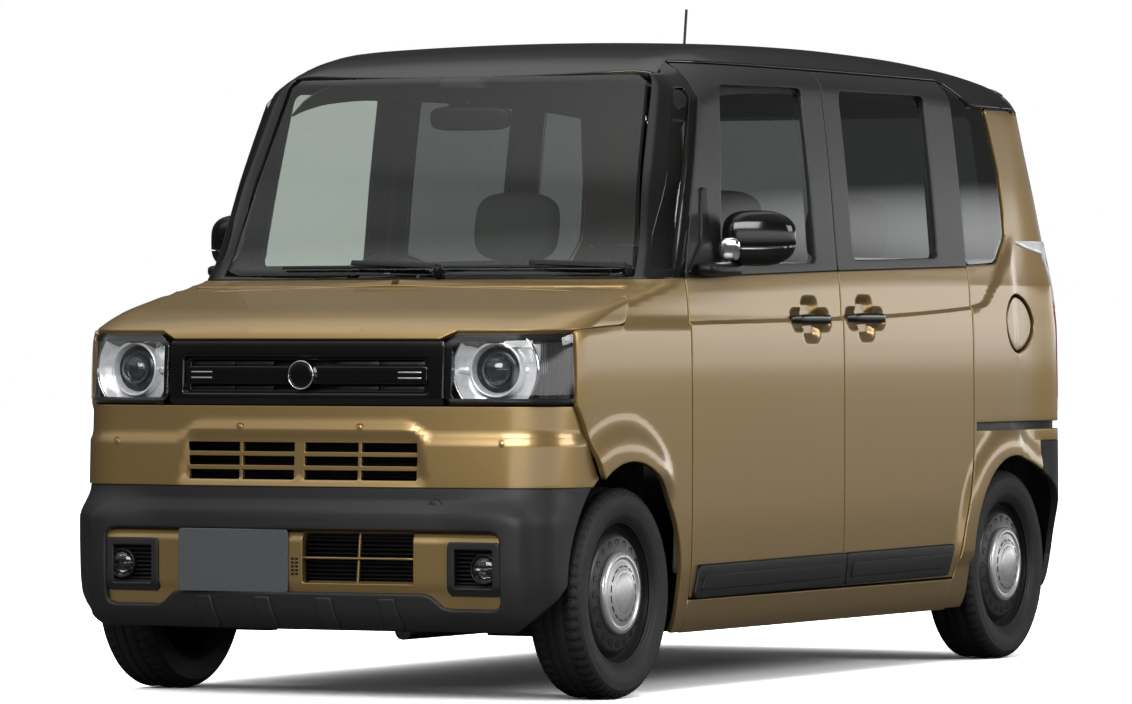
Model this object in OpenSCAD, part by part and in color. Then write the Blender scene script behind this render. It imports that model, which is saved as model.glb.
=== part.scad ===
/* [Overall] */
// Length over the bumpers
body_length = 3395; // [3300:5:3500]
// Width over the door skins
body_width = 1475; // [1440:5:1520]
// Height of the roof's crown above the ground
roof_height = 1790; // [1740:5:1840]
// Distance between the axles
wheelbase = 2520; // [2480:5:2560]
// Front axle behind the foremost point
front_overhang = 463; // [450:1:480]
// Distance between the tyres' centre planes on one axle
track = 1296; // [1280:2:1310]

/* [Wheels] */
// Tyre outside diameter
tyre_diameter = 556; // [540:2:570]
// Tyre section width
tyre_width = 155; // [145:1:165]
// Diameter over the rim flanges
rim_diameter = 382; // [370:1:390]
// Diameter of the bright centre cap
cap_diameter = 214; // [190:2:230]
// Number of round vents in the wheel disc
vent_count = 20; // [12:1:24]
// Diameter of one vent
vent_diameter = 22; // [14:1:26]
// Radius of the stub axle that carries a wheel
spindle_radius = 15; // [12:0.5:20]

/* [Panels] */
// Thickness of the cabin walls and doors
wall = 50; // [40:1:60]
// Thickness of the bonnet, wings and bumpers
clip_wall = 30; // [24:1:34]
// Thickness of a door's outer skin at its rebate
skin = 16; // [12:1:20]
// Shut line round a panel that opens
shut_gap = 6; // [5:0.5:8]
// Seam between two fixed panels
seam = 0.6; // [0.4:0.1:0.8]
// Glass thickness
glass = 5; // [4:0.5:6]

/* [Arches] */
// Half width of the front wheel arch
front_arch_radius = 314; // [312:1:318]
// Top of the front wheel arch above the ground
front_arch_top = 622; // [610:1:635]
// Half width of the rear wheel arch
rear_arch_radius = 302; // [296:1:312]
// Top of the rear wheel arch above the ground
rear_arch_top = 598; // [590:1:615]

/* [Openings] */
// Front edge of the front door, ahead of the middle of the car
door_front = 862; // [858:1:866]
// Line where the front door meets the sliding door
door_split = 98; // [90:1:110]
// Rear edge of the sliding door
door_rear = 1000; // [990:1:1010]
// Lower edge of the doors
door_bottom = 250; // [246:1:256]
// Top edge of the doors at the roof
door_top = 1694; // [1688:1:1698]
// Depth of the glass behind the outer surface
glass_depth = 14; // [12:1:16]

/* [Hidden] */
$fn = 48;
half_length = body_length / 2;
half_width = body_width / 2;
front_axle = -half_length + front_overhang;
rear_axle = front_axle + wheelbase;
wheel_x = track / 2;
wheel_r = tyre_diameter / 2;
run_fit = 0.05;
seat_gap = 0.3;

paint = "#8a7146";
black_paint = "#15161a";
black_plastic = "#26272a";
glass_tint = "#2c3432";
steel = "#55585c";

// Horizontal sections of the outer surface. Each row: height, nose inset, nose bow, front corner across,
// front corner along, side inset, tail inset, tail bow, rear corner across, rear corner along.
levels = [
    [ 155, 100,  45, 160, 160,  42, 110, 35, 130, 120],
    [ 190,  28,  45, 160, 170,  24,  40, 35, 130, 120],
    [ 240,   8,  45, 160, 170,  14,  10, 35, 130, 120],
    [ 340,   0,  45, 160, 170,   3,   0, 35, 130, 120],
    [ 500,   2,  45, 160, 170,   0,   0, 35, 130, 120],
    [ 780,  16,  45, 155, 165,   0,   6, 35, 130, 120],
    [ 930,  24,  46, 150, 160,   2,  10, 35, 130, 120],
    [ 962,  34,  50, 150, 160,   3,  11, 35, 130, 120],
    [ 985,  66,  62, 150, 170,   4,  12, 35, 130, 120],
    [1010, 136,  74, 130, 165,   6,  14, 35, 130, 120],
    [1045, 314,  74, 105, 130,   8,  16, 35, 130, 120],
    [1080, 506,  70,  95, 115,  10,  18, 35, 130, 120],
    [1104, 648,  54,  94, 105,  12,  20, 35, 130, 120],
    [1110, 664,  45,  95, 100,  13,  21, 35, 130, 120],
    [1400, 792,  47, 102, 110,  40,  65, 35, 130, 120],
    [1660, 915,  49, 109, 120,  70, 122, 35, 125, 120],
    [1830, 990,  49, 115, 125,  92, 162, 35, 120, 120]
];

// Centre line of the roof. Each row: station along the car, drop below the crown.
roof_line = [
    [-2000, 165], [-850, 165], [-780, 118], [-700, 78], [-600, 48], [-450, 23], [-200, 6], [300, 0], [800, 7],
    [1200, 26], [1500, 54], [1720, 90]
];
roof_crown = 14;
roof_shoulder = 480;
roof_shoulder_run = 200;
roof_shoulder_drop = 110;
side_crown = 8;

function bezier(a, b, c, d, t) =
    pow(1 - t, 3) * a + 3 * pow(1 - t, 2) * t * b + 3 * (1 - t) * t * t * c + t * t * t * d;

// Left half of a section's outline, from the middle of the nose to the middle of the tail
function half_outline(row, inset) =
    let (w = half_width - row[5] - inset,
         cx = row[3] - inset / 2,
         cy = row[4] - inset / 2,
         rx = row[8] - inset / 2,
         ry = row[9] - inset / 2,
         nose = -half_length + row[1] + inset,
         tail = half_length - row[6] - inset,
         nose_x = w - cx,
         nose_y = nose + row[2],
         tail_x = w - rx,
         tail_y = tail - row[7],
         pull = 0.55,
         bends = inset > 0 ? 3 : 5,
         y0 = nose_y + cy,
         y1 = tail_y - ry)
    concat(
        [for (i = [0:2]) let (x = nose_x * i / 3) [x, nose + row[2] * pow(x / nose_x, 2)]],
        [for (i = [0:bends]) bezier([nose_x, nose_y], [nose_x + pull * cx, nose_y + pull * cx * 2 * row[2] / nose_x],
                                [w - side_crown, y0 - pull * cy], [w - side_crown, y0], i / bends)],
        [[w, (y0 + y1) / 2]],
        [for (i = [0:3]) bezier([w - side_crown, y1], [w - side_crown, y1 + pull * ry],
                                [tail_x + pull * rx, tail_y + pull * rx * 2 * row[7] / tail_x * -1],
                                [tail_x, tail_y], i / 3)],
        [for (i = [1:2]) let (x = tail_x * (2 - i) / 2) [x, tail - row[7] * pow(x / tail_x, 2)]]);

function outline(row, inset) =
    let (left = half_outline(row, inset), last = len(left) - 1)
    concat(left, [for (i = [last - 1:-1:1]) [-left[i][0], left[i][1]]]);

// Solid between two flat convex sections given as rings of points
module between(lower, upper) {
    n = len(lower);
    hull()
        polyhedron(concat(lower, upper), [[for (i = [0:n - 1]) i], [for (i = [0:len(upper) - 1]) n + i]]);
}

function plan_ring(row, inset) = [for (p = outline(row, inset)) [p[0], p[1], row[0]]];

// Sections used for the nose and for the cabin behind it: the inner faces follow fewer than the outer face
$cabin = false;
nose_inner = [0, 3, 5, 7, 10, 13, 16];
cabin_outer = [0, 2, 3, 4, 5, 7, 13, 14, 15, 16];
cabin_inner = [0, 3, 5, 7, 13, 15, 16];

module plan_stack(inset) {
    nose_rows = inset > 0 ? nose_inner : [for (i = [0:len(levels) - 1]) i];
    cabin_rows = inset > 0 ? cabin_inner : cabin_outer;
    rows = $cabin ? cabin_rows : nose_rows;
    for (i = [0:len(rows) - 2])
        between(plan_ring(levels[rows[i]], inset), plan_ring(levels[rows[i + 1]], inset));
}

function roof_drop(x) =
    roof_crown * pow(x / 500, 2) + roof_shoulder_drop * pow(max(0, abs(x) - roof_shoulder) / roof_shoulder_run, 2.5);

roof_xs = [-760, -680, -630, -580, -520, -300, 0, 300, 520, 580, 630, 680, 760];

function roof_ring(station, inset) =
    let (y = station[0] + (station[0] < 0 ? inset : -inset), top = roof_height - station[1])
    concat([for (x = roof_xs) [x, y, top - roof_drop(x)]], [[760, y, 100], [-760, y, 100]]);

module roof_loft(inset) {
    for (i = [0:len(roof_line) - 2])
        between(roof_ring(roof_line[i], inset), roof_ring(roof_line[i + 1], inset));
}

// The car's outer form, or the same form taken in by an inset
module body_solid(inset) {
    translate([0, 0, -inset])
        intersection() {
            plan_stack(inset);
            roof_loft(inset);
        }
}

// The wall between two depths behind the outer surface
module shell(inner, outer = 0) {
    difference() {
        body_solid(outer);
        body_solid(inner);
    }
}

module side_prism(x0 = 560, x1 = 800) {
    translate([x0, 0, 0])
        rotate([90, 0, 90])
            linear_extrude(x1 - x0)
                children();
}

module front_prism(y0, y1) {
    translate([0, y1, 0])
        rotate([90, 0, 0])
            linear_extrude(y1 - y0)
                children();
}

module soften(r) {
    offset(r, $fn = 12) offset(-r) children();
}

module both_sides() {
    children();
    mirror([1, 0, 0]) children();
}

// Outlines in the side view, as points of station and height

belt_front = 1108;
pillar_top = 640;

module front_door_outline() {
    polygon([[-door_front, door_bottom], [door_split, door_bottom], [door_split, door_top],
             [-pillar_top, door_top], [-door_front, belt_front]]);
}

module sliding_door_outline() {
    polygon([[door_split, door_bottom], [870, door_bottom], [920, 410], [door_rear, 590], [door_rear, 1130],
             [door_rear - 12, door_top], [door_split, door_top]]);
}

module front_door_window() {
    soften(18) polygon([[-640, 1142], [-32, 1150], [-32, 1640], [-545, 1636]]);
}

module sliding_door_window() {
    soften(18) polygon([[205, 1160], [800, 1172], [800, 1644], [205, 1640]]);
}

module rear_quarter_window() {
    soften(25) polygon([[1016, 1168], [1240, 1180], [1318, 1246], [1290, 1420], [1205, 1632], [1010, 1644]]);
}

module front_quarter_window() {
    soften(10) polygon([[-962, 1126], [-906, 1126], [-690, 1622], [-731, 1622]]);
}

module fender_outline() {
    difference() {
        polygon([[-1515, 770], [-1380, 555], [-1235, 100], [fender_rear, 100],
                 [fender_rear, belt_front - seam], [-1515, belt_front - seam]]);
        offset(delta = shut_gap) bonnet_outline();
    }
}

// Shut line of the bonnet on the car's side, from the headlamp to the screen pillar
bonnet_cut = [[-1505, 968], [-1262, 981], [-1236, 987], [-1220, 1005], [-1190, 1075], [-1178, 1106]];
bonnet_rear = -1077;

module bonnet_outline() {
    polygon(concat([[-1800, 966]], bonnet_cut, [[-1178, 1300], [-1800, 1300]]));
}

module roof_outline() {
    polygon([[-1000, 1662], [-690, 1662], [-656, door_top + shut_gap], [tailgate_front, door_top + shut_gap],
             [tailgate_front, 1900], [-1000, 1900]]);
}

module arch(axle, radius, top) {
    centre = top - radius;
    translate([axle, centre]) circle(radius, $fn = 36);
    translate([axle - radius, -100]) square([2 * radius, centre + 100]);
}

module arches() {
    side_prism(-900, 900) {
        arch(front_axle, front_arch_radius, front_arch_top);
        arch(rear_axle, rear_arch_radius, rear_arch_top);
    }
}

// Outlines in the front view

module windscreen_outline(grow = 0) {
    offset(delta = grow)
        soften(30) polygon([[-628, 1114], [628, 1114], [556, 1657], [-556, 1657]]);
}

module lamp_outline(grow = 0) {
    offset(delta = grow)
        polygon([[410, 794], [428, 770], [800, 770], [800, 962], [442, 960], [410, 934]]);
}

module grille_outline(grow = 0) {
    offset(delta = grow)
        square_about(0, 854.3, 818.8, 168.6);
}

module panel_outline(grow = 0) {
    offset(delta = grow)
        soften(22) polygon([[-586, 238], [-420, 238], [-380, 278], [380, 278], [420, 238], [586, 238],
                            [586, 452], [-586, 452]]);
}

module square_about(x, y, w, h) {
    translate([x - w / 2, y - h / 2]) square([w, h]);
}

tailgate_front = 1490;
tailgate_half = 585;
tailgate_bottom = 648;
module tailgate_outline(grow = 0) {
    offset(delta = grow)
        soften(40) polygon([[-tailgate_half, tailgate_bottom], [tailgate_half, tailgate_bottom],
                            [tailgate_half, 2000], [-tailgate_half, 2000]]);
}

module tailgate_window(grow = 0) {
    offset(delta = grow)
        soften(45) polygon([[-500, 1130], [500, 1130], [470, 1630], [-470, 1630]]);
}

// Hinge axes: the panel's edge is rounded about each one

hinge_r = 8;
pin_r = 4;
door_axis = [half_width - side_crown - hinge_r + 5, -door_front + shut_gap / 2 + hinge_r + 0.5];
fender_rear = door_axis[1] - hinge_r - shut_gap;
bonnet_axis = [bonnet_rear - hinge_r, 1086];
tailgate_axis = [tailgate_front + shut_gap + hinge_r, 1726];

module door_pins(r, reach) {
    for (z = door_hinge_zs)
        translate([door_axis[0], door_axis[1], z - reach]) cylinder(r = r, h = knuckle_w + 2 * reach, $fn = 20);
}

hinge_xs = [-260, 260];
door_hinge_zs = [430, 880];
knuckle_w = 30;

module cross_pin(axis, r, w) {
    for (x = hinge_xs)
        translate([x - w / 2, axis[0], axis[1]]) rotate([0, 90, 0]) cylinder(r = r, h = w, $fn = 20);
}

// Body

sill_inner = 640;
floor_bottom = 176;
floor_top = 214;
rear_step = 1130;
rear_floor = 430;

module floor_slab(grow = 0) {
    translate([-sill_inner - 22 - grow, -900, floor_bottom - grow])
        cube([2 * (sill_inner + 22 + grow), rear_step + 900, floor_top - floor_bottom + 2 * grow]);
}

house_x = 448;
front_house_x = 430;
bulkhead = -908;

module floor_pan() {
    color(black_paint)
        difference() {
            union() {
                floor_slab();
                translate([-600, bulkhead, floor_bottom]) cube([1200, 34, 880]);
                translate([seat_gap - house_x, rear_step - 1, floor_bottom])
                    cube([2 * (house_x - seat_gap), 17, rear_floor - floor_bottom]);
                translate([seat_gap - house_x, rear_step, rear_floor - 30])
                    cube([2 * (house_x - seat_gap), 460, 30]);
            }
            both_sides() house_arches();
        }
}

module house_arches() {
    side_prism(465, 900) {
        arch(front_axle, front_arch_radius, front_arch_top);
        arch(rear_axle, rear_arch_radius, rear_arch_top);
    }
}

// Inner wheel arches: a flat inner wall with a rounded liner over each tyre
module wheel_houses() {
    color(black_paint)
        both_sides()
            difference() {
                union() {
                    translate([front_house_x, -1500, 420]) cube([16, bulkhead + 1500, 420]);
                    translate([house_x, rear_axle - 330, floor_bottom]) cube([16, rear_step - rear_axle + 340, 450]);
                    translate([house_x, rear_step, rear_floor - 20]) cube([16, 460, 216]);
                    intersection() {
                        union() {
                            liner(front_axle, front_arch_top - front_arch_radius, front_arch_radius + 8,
                                  front_house_x, 636);
                            liner(rear_axle, rear_arch_top - rear_arch_radius, rear_arch_radius + 8, house_x, 640);
                        }
                        translate([0, -2000, 330]) cube([900, 4000, 600]);
                    }
                }
                house_arches();
                floor_slab(seat_gap);
                translate([400, bulkhead - seat_gap, 0]) cube([300, 60, 1100]);
                translate([strut_x, front_axle, 300]) cylinder(r = strut_r + 2, h = 500);
            }
}

module liner(axle, z, r, x0, x1) {
    translate([x0, axle, z])
        rotate([0, 90, 0])
            difference() {
                cylinder(r = r + 8, h = x1 - x0);
                translate([0, 0, -1]) cylinder(r = r, h = x1 - x0 + 2);
            }
}

module door_opening(deep) {
    intersection() {
        shell(skin + 5, -20);
        side_prism() offset(delta = deep) children();
    }
    side_prism() offset(delta = -18) children();
}

module body_side() {
    difference() {
        intersection() {
            shell(wall);
            side_prism(520, 800)
                polygon([[-1069, belt_front + seam], [-1069, 1300], [-1000, 1662 - seam], [-690, 1662 - seam],
                         [-656, door_top + shut_gap - seam], [tailgate_front + seam, door_top + shut_gap - seam],
                         [tailgate_front + seam, 1900],
                         [1720, 1900], [1720, 100], [fender_rear + seam, 100],
                         [fender_rear + seam, belt_front + seam]]);
        }
        front_prism(-1200, -500) windscreen_outline(seam);
        door_opening(shut_gap / 2) front_door_outline();
        door_opening(shut_gap / 2) sliding_door_outline();
        side_prism() rear_quarter_window();
        side_prism() front_quarter_window();
        glass_slab(seat_gap) rear_quarter_window();
        glass_slab(seat_gap) front_quarter_window();
        arches();
        floor_slab(seat_gap);
        front_prism(tailgate_front + shut_gap, 2000) tailgate_outline(shut_gap);
        front_prism(tailgate_front - 2, tailgate_front + 40) square_about(0, 1900, 2000, 390);
        rear_bumper_region(seam);
        rear_lamp_region(seam);
        rail_groove();
        cowl_space(seam);
    }
    b_pillar();
}

module glass_slab(grow) {
    intersection() {
        shell(glass_depth + glass + grow, glass_depth - grow);
        side_prism() offset(delta = 12 + grow) children();
    }
}

module b_pillar() {
    intersection() {
        shell(wall + 50, wall + 6);
        side_prism() polygon([[door_split - 45, floor_top + seat_gap], [door_split + 45, floor_top + seat_gap],
                              [door_split + 35, 1720], [door_split - 35, 1720]]);
    }
    intersection() {
        shell(wall + 50, wall - 12);
        side_prism() translate([door_split - 42, floor_top + 3]) square([84, 20]);
    }
}

module rail_groove() {
    intersection() {
        shell(14, -10);
        side_prism() polygon([[door_rear - 10, 672], [1800, 672], [1800, 700], [door_rear - 10, 700]]);
    }
}

fuel_y = 1345;
fuel_z = 986;
fuel_r = 82;
fuel_pin_r = 2;
fuel_axis = [half_width - 15.5, fuel_y - 64];
fuel_lean = 3.2;

module fuel_recess() {
    intersection() {
        shell(24, -20);
        side_prism() translate([fuel_y, fuel_z]) circle(fuel_r + shut_gap / 2, $fn = 28);
    }
    fuel_pin(fuel_pin_r + seat_gap);
}

module fuel_pin(r) {
    translate([fuel_axis[0], fuel_axis[1], fuel_z])
        rotate([0, -fuel_lean, 0])
            cylinder(r = r, h = 126, center = true, $fn = 24);
}

module fuel_lid() {
    color(paint)
        difference() {
            union() {
                intersection() {
                    shell(6);
                    side_prism() translate([fuel_y, fuel_z]) circle(fuel_r - shut_gap / 2, $fn = 28);
                }
                intersection() {
                    shell(13, 3);
                    side_prism() translate([fuel_axis[1] - 6, fuel_z - 12]) square([12, 24]);
                }
            }
            fuel_pin(fuel_pin_r + seat_gap);
        }
}

module body_sides() {
    color(paint) {
        difference() {
            body_side();
            fuel_recess();
        }
        mirror([1, 0, 0]) body_side();
    }
}

module roof_panel() {
    color(black_paint)
        difference() {
            union() {
                difference() {
                    intersection() {
                        shell(wall);
                        side_prism(-800, 800) roof_outline();
                    }
                    front_prism(-1200, -500) windscreen_outline(seam);
                }
                cross_pin(tailgate_axis, hinge_r - 1, knuckle_w);
                for (x = hinge_xs)
                    translate([x - knuckle_w / 2, tailgate_front - 20, tailgate_axis[1] - 6])
                        cube([knuckle_w, tailgate_axis[0] - tailgate_front + 20, 12]);
            }
            cross_pin(tailgate_axis, pin_r + seat_gap, knuckle_w + 60);
        }
}

module fenders() {
    color(paint)
        both_sides()
            difference() {
                union() {
                    intersection() {
                        shell(clip_wall);
                        side_prism(cowl_half, 800) fender_outline();
                    }
                    door_pins(hinge_r - 1, 0);
                    for (z = door_hinge_zs)
                        translate([door_axis[0] - 5, fender_rear - 12, z])
                            cube([10, door_axis[1] - fender_rear + 12, knuckle_w]);
                }
                door_pins(pin_r + seat_gap, 30);
                arches();
                floor_slab(seat_gap);
            }
}

module front_bumper() {
    color(paint)
        difference() {
            intersection() {
                shell(clip_wall);
                side_prism(-800, 800)
                    polygon([[-1800, 558 + seam], [-1384, 558 + seam], [-1516, 770 - seam], [-1800, 770 - seam]]);
            }
            arches();
            both_sides() front_prism(-1800, -1500) bumper_slots();
            intersection() {
                shell(9, -20);
                front_prism(-1800, -1500) polygon([[-372, 568], [372, 568], [342, 698], [-342, 698]]);
            }
        }
}

module bumper_slots() {
    for (row = [0:2], x = [14, 181])
        translate([x, 576 + row * 36]) square([161, 27]);
}

module bumper_guard() {
    color(black_plastic)
        difference() {
            union() {
                intersection() {
                    shell(clip_wall);
                    side_prism(-800, 800) polygon([[-1800, 186], [-1500, 186], [-1370, 558], [-1800, 558]]);
                }
                intersection() {
                    shell(12, -5);
                    front_prism(-1800, -1500) soften(40) square_about(0, 348, 1280, 316);
                }
                intersection() {
                    shell(12, -10);
                    front_prism(-1800, -1500)
                        for (x = [-275, -95, 88, 270])
                            polygon([[x - 26, 194], [x + 14, 194], [x + 26, 272], [x - 14, 272]]);
                }
            }
            arches();
            front_prism(-1800, -1400) panel_outline(seam);
        }
}

duct = [175, 374, 324, 138];
module bumper_panel() {
    color(paint) {
        difference() {
            intersection() {
                shell(clip_wall + 6, 8);
                front_prism(-1800, -1400) panel_outline();
            }
            front_prism(-1800, -1400) {
                soften(10) square_about(duct[0], duct[1], duct[2], duct[3]);
                square_about(fog_x, 349, fog_w + 2 * seam, 142 + 2 * seam);
                square_about(-fog_x, 349, fog_w + 2 * seam, 142 + 2 * seam);
            }
            plate_bracket(seat_gap);
        }
        intersection() {
            shell(26, 11);
            front_prism(-1800, -1400) {
                square_about(duct[0], duct[1], duct[2] + 4, 6);
                square_about(duct[0], duct[1], 6, duct[3] + 4);
            }
        }
    }
}

module plate_bracket(grow = 0) {
    translate([plate_x - 105 - grow, -half_length + 3, 330 - grow])
        cube([210 + 2 * grow, 30 + grow, 60 + 2 * grow]);
}

module grille() {
    color(black_plastic)
        intersection() {
            union() {
                difference() {
                    shell(40, 6);
                    front_prism(-1800, -1500) grille_outline(-22);
                }
                intersection() {
                    shell(34, 12);
                    front_prism(-1800, -1500) {
                        square_about(0, 850, 800, 40);
                        translate([0, 850]) circle(44, $fn = 32);
                        for (z = [794, 812, 888, 906])
                            square_about(0, z, 800, 9);
                        for (x = [-240, -80, 80, 240])
                            square_about(x, 857, 9, 150);
                    }
                }
            }
            front_prism(-1800, -1500) grille_outline();
        }
}

module lamp_space(grow = 0) {
    front_prism(-1800, -1515 - seam + grow) lamp_outline(grow);
}

module headlamps() {
    color(black_plastic)
        both_sides()
            difference() {
                intersection() {
                    shell(95, glass + seam);
                    lamp_space();
                }
                intersection() {
                    body_solid(-10);
                    difference() {
                        front_prism(-1800, -1545) lamp_outline(-10);
                        lamp_round(-1640, 42);
                        difference() {
                            lamp_round(-1622, 78);
                            lamp_round(-1630, 62);
                        }
                    }
                    translate([300, -1800, 700]) cube([500, 255, 400]);
                }
            }
}

module lamp_round(y, r) {
    translate([540, y, 864]) rotate([-90, 0, 0]) cylinder(r = r, h = 200, $fn = 28);
}

module headlamp_lenses() {
    color(glass_tint)
        both_sides()
            intersection() {
                shell(glass);
                lamp_space();
            }
}

fog_x = 506;
fog_w = 152;
module fog_lamps() {
    color(black_plastic)
        both_sides()
            difference() {
                intersection() {
                    shell(70, 6);
                    front_prism(-1800, -1500) square_about(fog_x, 349, fog_w, 142);
                }
                difference() {
                    front_prism(-1800, -1620) square_about(fog_x, 349, fog_w - 24, 116);
                    translate([536, -1650, 351]) rotate([-90, 0, 0]) cylinder(r = 30, h = 40, $fn = 24);
                    front_prism(-1645, -1610)
                        for (i = [0:6])
                            square_about(fog_x, 303 + i * 15.3, fog_w, 5);
                }
            }
}

module windscreen() {
    color(glass_tint)
        intersection() {
            shell(glass + 1);
            front_prism(-1200, -500) windscreen_outline();
        }
}

module fixed_side_glass() {
    color(glass_tint)
        both_sides() {
            glass_slab(0) rear_quarter_window();
            glass_slab(0) front_quarter_window();
            glass_slab(0) sliding_door_window();
        }
}

module door_panel() {
    difference() {
        union() {
            intersection() {
                shell(skin);
                side_prism() offset(delta = -shut_gap / 2) children(0);
            }
            intersection() {
                shell(wall, skin - 2);
                side_prism() offset(delta = -25) children(0);
            }
        }
        side_prism() children(1);
        glass_slab(seat_gap) children(1);
        arches();
    }
}

module front_door() {
    difference() {
        door_panel() {
            front_door_outline();
            front_door_window();
        }
        difference() {
            translate([600, -door_front - 5, 200]) cube([200, door_axis[1] + door_front + 5, 905]);
            translate([door_axis[0], door_axis[1], 100]) cylinder(r = hinge_r, h = 1100, $fn = 20);
        }
        door_pins(hinge_r + 2, 2);
        door_pins(pin_r + seat_gap, 30);
        handle_cup(front_handle);
    }
}

front_handle = -112;
rear_handle = 238;
handle_z = 996;

module handle_cup(y) {
    intersection() {
        shell(12, -20);
        side_prism() translate([y, handle_z]) scale([1.15, 1]) circle(62, $fn = 28);
    }
}

module sliding_door() {
    difference() {
        door_panel() {
            sliding_door_outline();
            sliding_door_window();
        }
        handle_cup(rear_handle);
    }
    intersection() {
        shell(14 - seat_gap, 4);
        side_prism() translate([door_rear - 12, 676]) square([90, 20]);
    }
}

module sliding_doors() {
    color(paint)
        both_sides() sliding_door();
}

module front_door_left() {
    color(paint) front_door();
}

module front_door_right() {
    color(paint) mirror([1, 0, 0]) front_door();
}

module front_door_glass_left() {
    color(glass_tint) glass_slab(0) front_door_window();
}

module front_door_glass_right() {
    color(glass_tint) mirror([1, 0, 0]) glass_slab(0) front_door_window();
}

module handle(y) {
    translate([half_width + 14, y - 120, handle_z])
        rotate([-90, 0, 0])
            hull() {
                translate([0, 8, 0]) cylinder(r = 8, h = 240, $fn = 12);
                translate([0, -8, 0]) cylinder(r = 8, h = 240, $fn = 12);
            }
    for (s = [-1, 1])
        translate([half_width - 24, y + s * 95 - 10, handle_z - 12]) cube([36, 20, 24]);
}

module garnish(y0, y1) {
    intersection() {
        shell(-seat_gap, -14);
        side_prism() soften(10) polygon([[y0, 256], [y1, 262], [y1 + 30, 344], [y0 + 20, 336]]);
    }
}

module front_door_trim() {
    garnish(-842, door_split - 6);
    difference() {
        union() {
            handle(front_handle);
            mirror_unit();
        }
        body_solid(-seat_gap);
    }
}

module mirror_unit() {
    hull() {
        for (z = [1178, 1262]) {
            translate([768, -738, z]) sphere(r = 34, $fn = 12);
            translate([846, -716, z]) sphere(r = 34, $fn = 12);
        }
    }
    hull() {
        translate([690, -780, 1122]) cube([40, 90, 20]);
        translate([745, -755, 1150]) cube([20, 40, 20]);
    }
}

module front_door_trim_left() {
    color(black_plastic) front_door_trim();
}

module front_door_trim_right() {
    color(black_plastic) mirror([1, 0, 0]) front_door_trim();
}

module sliding_door_trim() {
    color(black_plastic)
        both_sides() {
            garnish(door_split + 6, 810);
            difference() {
                handle(rear_handle);
                body_solid(-seat_gap);
            }
        }
}

module rear_bumper_region(grow = 0) {
    translate([-900, 1450 - grow, 100]) cube([1800, 400, 540 + grow]);
}

module rear_bumper() {
    color(black_plastic)
        difference() {
            intersection() {
                shell(clip_wall);
                translate([-900, 1450, 200]) cube([1800, 400, 440]);
            }
            arches();
        }
}

module rear_lamp_region(grow = 0) {
    translate([tailgate_half + shut_gap - grow, 1545 - grow, 760 - grow])
        cube([300, 300, 470 + 2 * grow]);
}

module rear_lamps() {
    color("#a02020")
        both_sides()
            intersection() {
                shell(wall - 10);
                rear_lamp_region(0);
            }
}

module tailgate() {
    color(paint)
        difference() {
            intersection() {
                shell(wall);
                front_prism(tailgate_front + shut_gap, 2000) tailgate_outline();
            }
            front_prism(tailgate_front + 30, 2000) tailgate_window();
            intersection() {
                shell(glass_depth + glass + seat_gap, glass_depth - seat_gap);
                front_prism(tailgate_front + 30, 2000) tailgate_window(12.5);
            }
            difference() {
                translate([-800, tailgate_front, 1660]) cube([1600, shut_gap + hinge_r, 200]);
                translate([-700, tailgate_axis[0], tailgate_axis[1]]) rotate([0, 90, 0])
                    cylinder(r = hinge_r, h = 1400, $fn = 20);
            }
            cross_pin(tailgate_axis, hinge_r + 2, knuckle_w + 4);
            cross_pin(tailgate_axis, pin_r + seat_gap, knuckle_w + 60);
        }
}

module tailgate_glass() {
    color(glass_tint)
        intersection() {
            shell(glass_depth + glass, glass_depth);
            front_prism(tailgate_front + 30, 2000) tailgate_window(12);
        }
}

module rear_wiper() {
    color(black_plastic)
        difference() {
            union() {
                translate([0, 1640, 1092]) rotate([-90, 0, 0]) cylinder(r = 22, h = 55, $fn = 20);
                translate([0, 1682, 1082]) rotate([0, 0, -4]) cube([340, 9, 20]);
            }
            body_solid(-seat_gap);
        }
}

module bonnet() {
    color(paint)
        difference() {
            intersection() {
                shell(clip_wall);
                union() {
                    side_prism(-800, 800) bonnet_outline();
                    translate([shut_gap - cowl_half, -1200, 966])
                        cube([2 * (cowl_half - shut_gap), bonnet_rear + 1200, 300]);
                    front_prism(-1800, -1600) square_about(0, 960, 800, 30);
                }
            }
            difference() {
                translate([-800, bonnet_axis[0], 1000]) cube([1600, 40, 200]);
                translate([-700, bonnet_axis[0], bonnet_axis[1]]) rotate([0, 90, 0])
                    cylinder(r = hinge_r, h = 1400, $fn = 20);
            }
            cross_pin(bonnet_axis, hinge_r + 2, knuckle_w + 4);
            cross_pin(bonnet_axis, pin_r + seat_gap, knuckle_w + 60);
        }
}

cowl_front = -1071;
cowl_half = 643;
screen_foot = 1114;
module cowl_space(grow = 0) {
    translate([-cowl_half - grow, cowl_front - grow, 900])
        cube([2 * (cowl_half + grow), 91 + 2 * grow, screen_foot - seam - 900 + grow]);
}

module cowl() {
    color(black_plastic)
        difference() {
            union() {
                intersection() {
                    shell(clip_wall);
                    cowl_space(-seam);
                }
                cross_pin(bonnet_axis, hinge_r - 1, knuckle_w);
                for (x = hinge_xs)
                    translate([x - knuckle_w / 2, bonnet_axis[0], 1070]) cube([knuckle_w, 40, 14]);
            }
            cross_pin(bonnet_axis, pin_r + seat_gap, knuckle_w + 60);
        }
}

module hinge_pins() {
    color(steel) {
        both_sides() {
            door_pins(pin_r, 26);
        }
        cross_pin(bonnet_axis, pin_r, knuckle_w + 50);
        cross_pin(tailgate_axis, pin_r, knuckle_w + 50);
        fuel_pin(fuel_pin_r);
    }
}

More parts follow.
